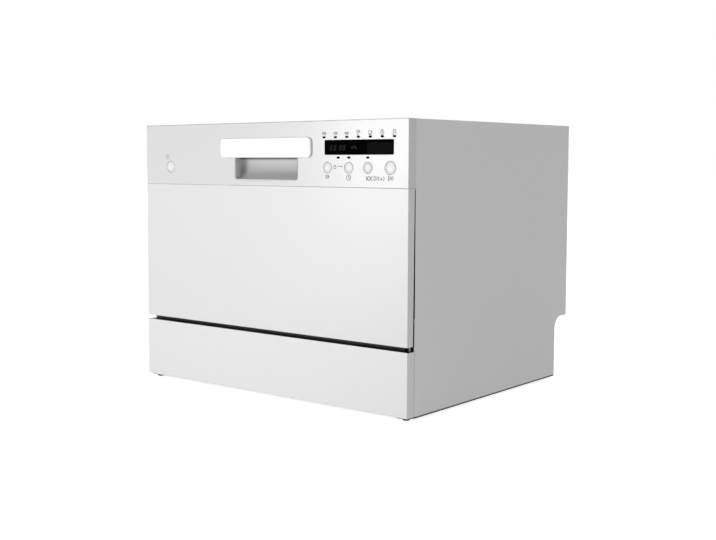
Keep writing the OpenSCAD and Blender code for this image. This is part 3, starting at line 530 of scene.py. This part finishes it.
def own_colour(tree):
    """The drifting colour that a finish was made with."""
    return tree.nodes["Color Ramp"].outputs["Color"]


def blended(tree, share, first, second):
    """A colour that goes over into a second one as the share goes from 0 to 1."""
    made = tree.nodes.new("ShaderNodeMix")
    made.data_type = "RGBA"
    return connect(tree, made, Factor=share, A=first, B=second).outputs["Result"]


# painted shade: the toe panel's upper fold, behind its front face, is coloured black, as dark as the shaded gap
# above it
fold_from, fold_behind = (toe_top - 0.6) / 1000, FRONT + 0.0009
painted_gap_shade = (0.004, 0.004, 0.004, 1)
edge_tree = shade_painted_toe.node_tree
spot = spot_on(edge_tree)
fold_in_painted_shade = reckoned(edge_tree, "MULTIPLY", reckoned(edge_tree, "GREATER_THAN", spot["Z"], fold_from),
                   reckoned(edge_tree, "GREATER_THAN", spot["Y"], fold_behind))
coloured(edge_tree, blended(edge_tree, fold_in_painted_shade, own_colour(edge_tree), painted_gap_shade))

refined("toe_pan", "toe_panel", shade_painted_toe, [(0.9, 4, upright_fold), (0.4, 2, outer_rim(toe_top)),
                                              (0.4, 2, outer_rim(toe_bottom))])
door_pan = refined("door_pan", "door_outer_panel", enamel,
                   [(0.9, 4, upright_fold), (0.4, 2, outer_rim(door_bottom)), (0.25, 2, outer_rim(door_top))])

# the door's upper edge reaches up until only a hairline parts it from the control panel
raised_top = 0.33815
for vertex in door_pan.data.vertices:
    if vertex.co.z > door_top / 1000 - 0.00005:
        vertex.co.z = raised_top

# black pads of painted shade fill the casing's sides behind the door's edges, so the seam there reads dark
seam_shade_pad = surface("seam_shade_pad", (0.006, 0.006, 0.006), 0.9, grain=1200, gloss=0.05, depth=0.00003,
                      specular=0.0)
pad_outline = [(270.8, 17), (274.8, 17), (274.8, 18.4), (273.7, 18.4), (273.7, 60), (270.8, 60)]
pad_ends = (150, 336)
pads = bmesh.new()
for side in (-1, 1):
    lower, upper = [[pads.verts.new(at(side * x, a, z)) for x, a in pad_outline] for z in pad_ends]
    for i in range(len(pad_outline)):
        j = (i + 1) % len(pad_outline)
        pads.faces.new((lower[i], lower[j], upper[j], upper[i]))
    pads.faces.new(lower)
    pads.faces.new(upper)
bmesh.ops.recalc_face_normals(pads, faces=pads.faces)
bmesh.ops.bevel(pads, geom=pads.edges[:], offset=0.0002, segments=2, profile=0.5, affect="EDGES")
shown("seam_shade_pads", even_shading(as_mesh(pads, "seam_shade_pads", seam_shade_pad)), "cabinet")

# ---- door liner ----
# The inside of the door is a stainless pressing that bulges into the tub's mouth. It hangs on the same screws
# as the hinge arms, with a rubber lip along its lower edge.

bulge_outside, bulge_inside = 48, 46.8
opening_half, opening_from, opening_to = 180, 165, 385


def bulge_edge(level):
    """Picks the edges of the bulge's flat at one depth, and leaves out the dispenser's opening in it."""
    def choose(p, q):
        return all(abs(v[1] - level) < 0.05 and
                   (abs(v[0]) > opening_half or v[2] < opening_from or v[2] > opening_to) for v in (p, q))
    return choose


refined("liner_pressing", "door_liner", tub_steel, [(6, 4, bulge_edge(bulge_outside)),
                                                    (4.8, 4, bulge_edge(bulge_inside))])
paint(gasket_rubber, "door_bottom_seal")

# ---- control panel ----
# A moulded white shell across the top of the front, open for the grip, the buttons, the lamps and the dark
# display window. The grip recess behind the handle is a separate grey moulding clipped in from the rear.

panel_plastic = surface("panel_plastic", (0.625, 0.625, 0.625), 0.26, cloud=2.5, drift=0.008, grain=1500,
                        gloss=0.04, depth=0.000008)
cup_plastic = surface("cup_plastic", (0.567, 0.567, 0.567), 0.42, cloud=8, drift=0.01, grain=1500, gloss=0.05,
                      depth=0.00001)


def shell_edge(p, q):
    return in_front(p, q) and (on_a_side(p, q) or on_the_top(p, q))


def hole_edge(p, q):
    inside = max(abs(p[0]), abs(q[0])) < half_width - 2 and max(p[2], q[2]) < full_height - 2
    return in_front(p, q) and inside


refined("panel_shell", "control_panel", panel_plastic, [(0.8, 4, shell_edge), (0.3, 2, hole_edge)])

# painted shade: the shell's upper front edge is darkened to a thin line below the roof
edge_from, edge_to = 0.4366, 0.4371
top_shade_factor = 0.6
shell_tree = panel_plastic.node_tree
spot = spot_on(shell_tree)
near_top = spread(shell_tree, spot["Z"], edge_from, edge_to)
at_front = spread(shell_tree, spot["Y"], FRONT + 0.0006, FRONT + 0.0012, 1.0, 0.0)
painted_top_shade = spread(shell_tree, reckoned(shell_tree, "MULTIPLY", near_top, at_front), 0.0, 1.0, 1.0, top_shade_factor)
shell_with_painted_shade = linked(shell_tree, "ShaderNodeVectorMath", "SCALE", _0=own_colour(shell_tree), Scale=painted_top_shade)
coloured(shell_tree, shell_with_painted_shade.outputs[0])

# painted shade on the recess: its back wall is darkened by height where the bar above and the lip below keep the
# light off, its right end carries a painted dark line, and its front lip keeps a tone a little paler than its own
recess_low, recess_high = 0.348, 0.383
recess_shade_stops = [(0.350, 0.80), (0.356, 0.64), (0.366, 0.66), (0.371, 0.80), (0.3775, 1.0), (0.3792, 0.85),
                (0.3808, 0.28)]
lip_tone = (1.03, 1.03, 1.03, 1)
cup_tree = cup_plastic.node_tree
spot = spot_on(cup_tree)
tones = linked(cup_tree, "ShaderNodeValToRGB", Fac=spread(cup_tree, spot["Z"], recess_low, recess_high))
stops = tones.color_ramp.elements
while len(stops) < len(recess_shade_stops):
    stops.new(0.5)
for stop, (z, tone) in zip(stops, recess_shade_stops):
    stop.position = (z - recess_low) / (recess_high - recess_low)
    stop.color = (tone, tone, tone, 1)
lip_to, wall_from = FRONT + 0.006, FRONT + 0.014
right_wall_from, right_wall_to, right_wall_shade = 0.0652, 0.0668, 0.45
deep_in = spread(cup_tree, spot["Y"], lip_to, wall_from)
right_end_shade = spread(cup_tree, spot["X"], right_wall_from, right_wall_to, 1.0, right_wall_shade)
toned = linked(cup_tree, "ShaderNodeVectorMath", "MULTIPLY",
               _0=blended(cup_tree, deep_in, lip_tone, tones.outputs["Color"]), _1=own_colour(cup_tree))
recess_painted_shade = linked(cup_tree, "ShaderNodeVectorMath", "SCALE", _0=toned.outputs[0], Scale=right_end_shade)
coloured(cup_tree, recess_painted_shade.outputs[0])
refined("grip_recess", "handle_cup", cup_plastic, [(0.4, 2, every_edge)], crease=30)

smoked_acrylic = surface("smoked_acrylic", (0.0014, 0.0014, 0.0015), 0.12, cloud=5, drift=0.2, grain=300,
                         gloss=0.02, depth=0.000002, specular=0.0)
refined("dark_lenses", "panel_lenses", smoked_acrylic, [(0.2, 2, every_edge)])

board_green = surface("board_green", (0.02, 0.12, 0.05), 0.35, cloud=180, drift=0.25, grain=700, gloss=0.1,
                      depth=0.00002)
paint(board_green, "display_board")
paint(works_plastic, "door_lock")

# ---- pull handle ----
# A glossy white bar stands in front of the panel on a lever behind it. Its front edges are well rounded, and
# pulling its lower edge turns the latch hook out from under its strike.

gloss_plastic = surface("gloss_plastic", (0.94, 0.94, 0.94), 0.2, cloud=4, drift=0.006, grain=500, gloss=0.03,
                        depth=0.000004)


def rounded_frame(x0, x1, z0, z1, radius, steps=8):
    """Points round a rectangle with round corners, in millimetres."""
    points = []
    corners = [(x1 - radius, z1 - radius, 0), (x0 + radius, z1 - radius, 90), (x0 + radius, z0 + radius, 180),
               (x1 - radius, z0 + radius, 270)]
    for cx, cz, start in corners:
        for i in range(steps + 1):
            angle = math.radians(start + 90 * i / steps)
            points.append((cx + radius * math.cos(angle), cz + radius * math.sin(angle)))
    return points


bar_x = (-93, 97)
bar_z = (382.4, 413.4)
bar_corner = 7.5
bar_front = -5
edge_radius = 2.6
bar_layers = [(-0.8, 0.5), (-1.3, 0.0), (bar_front + edge_radius, 0.0)]
for i in range(1, 7):
    angle = math.radians(15 * i)
    bar_layers.append((bar_front + edge_radius * (1 - math.sin(angle)), edge_radius * (1 - math.cos(angle))))
bar_form = bmesh.new()
loops = []
for depth, inset in bar_layers:
    outline = rounded_frame(bar_x[0] + inset, bar_x[1] - inset, bar_z[0] + inset, bar_z[1] - inset,
                            bar_corner - inset)
    loops.append([bar_form.verts.new(at(x, depth, z)) for x, z in outline])
for back, ahead in zip(loops, loops[1:]):
    for i in range(len(back)):
        j = (i + 1) % len(back)
        bar_form.faces.new((back[i], back[j], ahead[j], ahead[i]))
bar_form.faces.new(loops[0])
bar_form.faces.new(loops[-1])

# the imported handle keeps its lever, cut off just behind the new bar
lever_from = -1.1
lever = merged("handle")
cut = bmesh.ops.bisect_plane(lever, geom=lever.verts[:] + lever.edges[:] + lever.faces[:],
                             plane_co=at(0, lever_from, 0), plane_no=(0, 1, 0), clear_inner=True)
bmesh.ops.holes_fill(lever, edges=[e for e in cut["geom_cut"] if isinstance(e, bmesh.types.BMEdge)])
bar_form.from_mesh(as_mesh(lever, "lever"))
bmesh.ops.recalc_face_normals(bar_form, faces=bar_form.faces)
in_one_finish(bar_form)
shown("handle_bar", even_shading(as_mesh(bar_form, "handle_bar", gloss_plastic)), "handle",
      ["handle"])
refined("latch_claw", "latch_hook", bright_steel, [(0.4, 2, every_edge)])

# ---- buttons ----
# Each button is a white cap with a shallow dish for the finger, on a stem that presses a switch on the board.
# A satin silver ring lies on its sloping rim.


def turned(profile, x, z, closed=False):
    """A round form about the depth axis through x and z, from pairs of radius and depth."""
    form = bmesh.new()
    spun(form, profile, 56, lambda across, up, depth: at(x + across, depth, z + up), closed)
    bmesh.ops.recalc_face_normals(form, faces=form.faces)
    return as_mesh(form, "turned")


button_z = 367.3
ring_silver = surface("ring_silver", (0.68, 0.68, 0.685), 0.35, metal=0.0, cloud=60, drift=0.05, grain=900,
                      gloss=0.08, depth=0.000006)
cap_white = surface("cap_white", (0.70, 0.70, 0.70), 0.3, cloud=40, drift=0.006, grain=700, gloss=0.04,
                    depth=0.000004)


def key(piece, node, x, radius):
    """A button and its ring. The cap runs from its dish over the sloping rim to the flange and the stem."""
    dish = radius - 3.6
    dish_and_rim = [(0, 0.5), (dish * 0.35, 0.45), (dish * 0.7, 0.25), (dish, -0.05), (dish + 0.7, -0.5),
                    (dish + 1.3, -0.88), (dish + 1.6, -0.98), (dish + 1.8, -1.0), (radius - 1.68, -0.97),
                    (radius - 0.02, 0.7)]
    flange_and_stem = [(radius, 3.4), (radius + 2, 3.4), (radius + 2, 5.0), (2.5, 5.0), (2.5, 6.9), (0, 6.9)]
    cap = turned(dish_and_rim + flange_and_stem, x, button_z)
    cap.materials.append(cap_white)
    shown(piece, even_shading(cap), body_of[node], [node])
    ring = turned([(radius - 2.1, -1.04), (radius - 1.64, -1.04), (radius - 0.3, 0.34), (radius - 0.34, 0.4),
                   (radius - 1.7, -0.9), (radius - 2.1, -0.9)], x, button_z, closed=True)
    ring.materials.append(ring_silver)
    shown(piece + "_ring", even_shading(ring), body_of[node])


key("power_key", "button_power", -214.1, 9.7)
key("program_key", "button_program", 127.7, 8.5)
key("delay_key", "button_delay", 167.9, 8.5)
key("options_key", "button_options", 203.0, 8.5)
key("start_key", "button_start", 243.4, 10.0)

# ---- printing on the panel ----
# Small grey pictograms are pad-printed over the lamps and beside the buttons, as thin films of ink. They are
# plain signs for pots, plates, glasses, a clock, a lock and the like.

ink = surface("grey_ink", (0.16, 0.16, 0.165), 0.5, cloud=300, drift=0.08, grain=2500, gloss=0.08, depth=0.000004)
ink_form = bmesh.new()


def printed(form, piece, material):
    """Puts finished films of ink on the door."""
    bmesh.ops.recalc_face_normals(form, faces=form.faces)
    shown(piece, as_mesh(form, piece, material), "door")


def film(form, loop_a, loop_b, closed, a0, a1):
    """A closed band of ink between two lines of points, from depth a0 to depth a1."""
    count = len(loop_a)
    ahead = [[form.verts.new(at(x, a0, z)) for x, z in loop] for loop in (loop_a, loop_b)]
    rear = [[form.verts.new(at(x, a1, z)) for x, z in loop] for loop in (loop_a, loop_b)]
    for i in range(count if closed else count - 1):
        j = (i + 1) % count
        form.faces.new((ahead[0][i], ahead[0][j], ahead[1][j], ahead[1][i]))
        form.faces.new((rear[0][i], rear[0][j], rear[1][j], rear[1][i]))
        form.faces.new((ahead[0][i], ahead[0][j], rear[0][j], rear[0][i]))
        form.faces.new((ahead[1][i], ahead[1][j], rear[1][j], rear[1][i]))
    if not closed:
        for k in (0, count - 1):
            form.faces.new((ahead[0][k], ahead[1][k], rear[1][k], rear[0][k]))


def stroke(points, width, closed=False, form=ink_form, depths=(-0.05, 0.02)):
    """A line of even width along points, mitred at its corners."""
    left, right = [], []
    count = len(points)
    for i, point in enumerate(points):
        before = points[i - 1] if closed or i else point
        after = points[(i + 1) % count] if closed or i < count - 1 else point
        into = Vector(point) - Vector(before)
        away = Vector(after) - Vector(point)
        into = into.normalized() if into.length else away.normalized()
        away = away.normalized() if away.length else into
        bend = into + away
        bend = bend.normalized() if bend.length > 0.1 else into
        side = Vector((-bend.y, bend.x))
        mitre = width / 2 / max(0.45, side.dot(Vector((-into.y, into.x))))
        left.append(tuple(Vector(point) + side * mitre))
        right.append(tuple(Vector(point) - side * mitre))
    film(form, left, right, closed, *depths)


def arc(x, z, radius, start=0, end=360, steps=20):
    """Points along part of a circle. A whole turn leaves out its last point, where it began."""
    count = steps if abs(end - start) >= 360 else steps + 1
    angles = [math.radians(start + (end - start) * i / steps) for i in range(count)]
    return [(x + radius * math.cos(angle), z + radius * math.sin(angle)) for angle in angles]


def sign(x, z, *lines, width=1.0):
    """A pictogram about a point. A line that ends where it starts is closed."""
    for points in lines:
        closed = len(points) > 2 and points[0] == points[-1]
        stroke([(x + u, z + v) for u, v in (points[:-1] if closed else points)], width, closed)


def circle(radius):
    """A closed ring of points about the sign's middle."""
    points = arc(0, 0, radius)
    return points + points[:1]


def squat(*lines):
    """The same lines pressed down, for the low signs over the first three lamps."""
    return [[(u, 0.62 * v) for u, v in line] for line in lines]


def leaning(*lines):
    """The same lines slanted to the right."""
    return [[(u + 0.35 * v, v) for u, v in line] for line in lines]


pot = [[(-2.6, 1.2), (-2.6, -2.6), (2.6, -2.6), (2.6, 1.2), (-2.6, 1.2)], [(-3.8, 0.1), (-2.6, 0.1)],
       [(2.6, 0.1), (3.8, 0.1)]]
lid = [(-3.0, 2.4), (3.0, 2.4)]
knob = [(0, 2.4), (0, 3.4)]
plates = [[(-3.7, v + 1.4), (-2.2, v), (2.2, v), (3.7, v + 1.4)] for v in (-2.6, -0.5, 1.6)]
glass = [[(-2.1, 3.6), (-1.7, 0.9), (0, -0.3), (1.7, 0.9), (2.1, 3.6), (-2.1, 3.6)], [(0, -0.3), (0, -3.2)],
         [(-1.7, -3.3), (1.7, -3.3)]]
plus = [[(1.6, 1.9), (4.4, 1.9)], [(3.0, 0.5), (3.0, 3.3)]]
cup = [[(-3.0, 2.4), (-2.2, -1.8), (1.6, -1.8), (2.4, 2.4), (-3.0, 2.4)], arc(2.3, 0.6, 1.3, -80, 80, 8),
       [(-3.2, -3.1), (3.2, -3.1)]]
clock = [circle(3.0), [(0, 2.0), (0, 0), (1.5, -0.7)]]
clock_top = [(-1.6, 4.1), (1.6, 4.1)]
turn_mark = [(2.6, 0.8), (4.2, -0.9), (2.6, -2.6)]
sign_z = 418.3
lamp_at = [120.7 + 21.6 * i for i in range(7)]
sign(lamp_at[0], sign_z, *squat(*pot, lid, knob))
sign(lamp_at[1] + 0.3, sign_z, *squat(*pot, lid))
sign(lamp_at[2] - 0.3, sign_z, *squat(*plates))
sign(lamp_at[3] - 1.2, sign_z + 0.2, *glass, *plus)
sign(lamp_at[4], sign_z + 0.4, *cup)
sign(lamp_at[5] - 0.2, sign_z - 0.2, *clock, clock_top)
sign(lamp_at[6] - 1.2, sign_z + 0.2, *leaning(*glass), turn_mark)

# beside and under the buttons: next, lock, clock, options and start, with the power sign at the far left
next_mark = [[(-3.2, 2.6), (-0.4, 0), (-3.2, -2.6)], [(0.6, 2.6), (3.4, 0), (0.6, -2.6)]]
padlock = [[(-2.1, -2.0), (2.1, -2.0), (2.1, 1.6), (-2.1, 1.6), (-2.1, -2.0)], arc(0, 1.6, 1.5, 0, 180, 10)]
large_clock = [circle(3.8), [(0, 2.6), (0, 0), (2.0, -1.0)]]
bracketed_box = [arc(0, 0, 3.4, 110, 250, 12),
                 [(1.6, 2.4), (5.4, 2.4), (5.4, -2.4), (1.6, -2.4), (1.6, 2.4)]]
zigzag = [(-1.6, 2.2), (1.0, 2.2), (-1.0, 0), (1.6, -2.2), (-1.2, -2.2)]
wave_and_bracket = [[(-1.6, -2.2), (-0.6, 1.0), (0.4, -2.2), (1.4, 1.0)], arc(1.6, 0, 3.4, -60, 60, 10)]
start_mark = [[(-4.0, 3.2), (-4.0, -3.2), (0.4, 0), (-4.0, 3.2)], [(1.9, 3.2), (1.9, -3.2)],
              [(4.0, 3.2), (4.0, -3.2)]]
power_mark = [arc(0, 0, 3.0, 125, 415, 18), [(0, 3.8), (0, 0.4)]]
options_z = 351.8
sign(127.0, 353.8, *next_mark, width=1.7)
sign(141.4, 367.9, *padlock, width=0.9)
sign(150.0, 369.2, [(-4.6, 0), (0.6, 0)])
sign(153.6, 369.2, [(-2.4, 0), (2.6, 0)], width=1.5)
sign(167.5, 352.5, *large_clock, width=1.2)
sign(200.7, options_z, [(0, -3.3), (0, 3.3)], width=1.5)
sign(205.0, options_z, circle(2.6), width=1.4)
sign(212.6, options_z, *bracketed_box, width=1.2)
sign(222.0, options_z, zigzag, width=1.2)
sign(227.4, options_z, *wave_and_bracket, width=1.2)
sign(244.0, 352.3, *start_mark, width=1.1)
sign(-222.0, 384.6, *power_mark, width=0.8)
printed(ink_form, "panel_printing", ink)

# ---- figures in the display ----
# Unlit bar figures and signs can just be made out behind the dark window, with a paler field to their right.

unlit_segments = surface("unlit_segments", (0.034, 0.034, 0.035), 0.5, cloud=300, drift=0.15, grain=1500,
                         gloss=0.05, depth=0.000003, specular=0.0)
pale_field = surface("pale_field", (0.0062, 0.0062, 0.0065), 0.3, cloud=120, drift=0.1, grain=1500, gloss=0.05,
                     depth=0.000003, specular=0.0)
film_depths = (0.06, 0.12)
figures_at, figures_z = (133.9, 141.6, 152.2, 158.8), 396.8
figure_form = bmesh.new()


def bar_figure(x, z):
    """A figure of seven bars, leaning slightly."""
    w, h, lean = 3.4, 3.6, 0.12
    tl, tr, ml, mr, bl, br = (-w / 2, h), (w / 2, h), (-w / 2, 0), (w / 2, 0), (-w / 2, -h), (w / 2, -h)
    for start, end in ((tl, tr), (tl, ml), (tr, mr), (ml, mr), (ml, bl), (mr, br), (bl, br)):
        p, q = Vector(start), Vector(end)
        short = (q - p).normalized() * 0.55
        p, q = p + short, q - short
        stroke([(x + p.x + lean * p.y, z + p.y), (x + q.x + lean * q.y, z + q.y)], 0.85, form=figure_form,
               depths=film_depths)


for x in figures_at:
    bar_figure(x, figures_z)
stroke(arc(174.3, 396.9, 1.6), 1.0, True, form=figure_form, depths=film_depths)
stroke([(178.2, 399.6), (181.8, 394.8)], 1.6, form=figure_form, depths=film_depths)
printed(figure_form, "display_figures", unlit_segments)
field_form = bmesh.new()
stroke([(202.0, 396.0), (247.0, 396.0)], 16.5, form=field_form, depths=film_depths)
printed(field_form, "display_field", pale_field)

# ---- dispenser ----
# A pale moulding in the middle of the door's inside holds a well for detergent under a sprung lid, and a
# tank for rinse aid closed by a blue screw cap.

refined("dispenser_case", "dispenser_body", cap_moulding, [(0.5, 3, every_edge)])
refined("detergent_flap", "detergent_lid", cap_moulding, [(0.5, 3, every_edge)])
cap_blue = surface("cap_blue", (0.035, 0.12, 0.36), 0.35, grain=1100, gloss=0.07, depth=0.000015)
refined("rinse_cap", "rinse_aid_cap", cap_blue, [(0.5, 3, every_edge)])

# ---- rack ----
# The rack is welded from round steel wire and dipped in pale nylon. A thicker rim runs round its top, four
# rows of tines hold the plates, and clips at its sides carry four small wheels.

dipped_wire = surface("dipped_wire", (0.60, 0.62, 0.64), 0.4, cloud=40, drift=0.03, grain=500, gloss=0.06,
                      depth=0.00002)
wires, given, out = new_tree("bent_wire", [("Wire radius", "Float"), ("Bend radius", "Float"),
                                           ("Finish", "Material")])
path = linked(wires, "GeometryNodeMeshToCurve", Mesh=given["Geometry"])
bent = wires.nodes.new("GeometryNodeFilletCurve")
bent.mode = "POLY"
connect(wires, bent, Curve=path.outputs[0], Count=6, Limit_Radius=True, Radius=given["Bend radius"])
section = linked(wires, "GeometryNodeCurvePrimitiveCircle", Resolution=10, Radius=given["Wire radius"])
tube = linked(wires, "GeometryNodeCurveToMesh", Curve=bent.outputs[0], Profile_Curve=section.outputs[0],
              Fill_Caps=True)
end_tree(wires, tube.outputs[0], given["Finish"], out)


def bent_wires(paths, radius, bend, closed=False):
    """Round wires along paths of points, with the wire's radius in mm and its bends' radius in metres."""
    points, edges = [], []
    for route in paths:
        first = len(points)
        points += [at(*p) for p in route]
        edges += [(first + i, first + i + 1) for i in range(len(route) - 1)]
        if closed:
            edges.append((first + len(route) - 1, first))
    mesh = bpy.data.meshes.new("route")
    mesh.from_pydata(points, edges, [])
    return grown(mesh, wires, {"Wire radius": radius / 1000, "Bend radius": bend, "Finish": dipped_wire})


def basket_at(s):
    """Half width, front, back and height of the rack at s, from its floor at 0 to its rim at 1."""
    return 212 + 10 * s, 98 - 34 * s, 400 + 12 * s, 176 + 114 * s


wide, near, far, high = basket_at(1)
wide0, near0, far0, high0 = basket_at(0)
wire_r, rim_r, tine_r = 1.8, 2.5, 1.62
rim_bend, wire_bend = 0.012, 0.008
lengthwise_at, crosswise_at = range(-174, 175, 58), range(115, 386, 54)
drop = wire_r * 1.6
rim = bent_wires([[(wide, near, high), (wide, far, high), (-wide, far, high), (-wide, near, high)]], rim_r,
                 rim_bend, closed=True)
lengthwise = bent_wires([[(x, near, high), (x, near0, high0), (x, far0, high0), (x, far, high)]
                         for x in lengthwise_at], wire_r, wire_bend)
crosswise = bent_wires([[(-wide, a, high), (-wide0, a, high0 - drop), (wide0, a, high0 - drop), (wide, a, high)]
                        for a in crosswise_at], wire_r, wire_bend)
tine_rows = (-88, -28, 32, 92)
tine_bars = bent_wires([[(x, 110, high0), (x, 390, high0)] for x in tine_rows], wire_r, 0.0)
tine_height, tine_sides, tines_in_row, row_length = 58, 10, 8, 0.224
tine_form = bmesh.new()
foot_ring, *_ = spun(tine_form, [(tine_r, 0), (tine_r, tine_height - 1.6), (tine_r * 0.86, tine_height - 0.6),
                                 (tine_r * 0.5, tine_height - 0.1), (0, tine_height)], tine_sides,
                     lambda x, y, z: (x / 1000, y / 1000, z / 1000))
tine_form.faces.new(foot_ring[::-1])
tines = grown(as_mesh(tine_form, "tine"), copies,
              {"Width": (tine_rows[-1] - tine_rows[0]) / 1000, "Height": row_length, "Columns": len(tine_rows),
               "Rows": tines_in_row, "Centre": at(2, 242, high0), "Turn": (0, 0, 0), "Finish": dipped_wire})
shown("rack_basket", joined("rack_basket", [rim, lengthwise, crosswise, tine_bars, tines], crease=50), "rack",
      ["rack_floor", "rack_ends", "rack_sides", "plate_tines"])
grey_moulding = surface("grey_moulding", (0.30, 0.315, 0.33), 0.42, grain=1100, gloss=0.08, depth=0.00002)
refined("wheel_clips", "rack_fittings", grey_moulding, [(0.5, 2, every_edge)])
refined("front_wheels", "rack_wheels_front", grey_moulding, [(0.5, 2, every_edge)])
refined("rear_wheels", "rack_wheels_rear", grey_moulding, [(0.5, 2, every_edge)])

# ---- cup shelf, cutlery basket and spray arm ----
# Grey polypropylene mouldings: the shelf folds up on its posts, the basket lifts out by its handle, and the
# arm spins on its hub as water leaves its slanted jets.

refined("folding_shelf", "cup_shelf", grey_moulding, [(0.6, 2, every_edge)])
refined("cutlery_holder", "cutlery_basket", grey_moulding, [(0.4, 1, every_edge)])
refined("basket_grip", "basket_handle", grey_moulding, [(0.9, 3, every_edge)])
refined("spray_blade", "spray_arm", grey_moulding, [(1.2, 3, every_edge)])
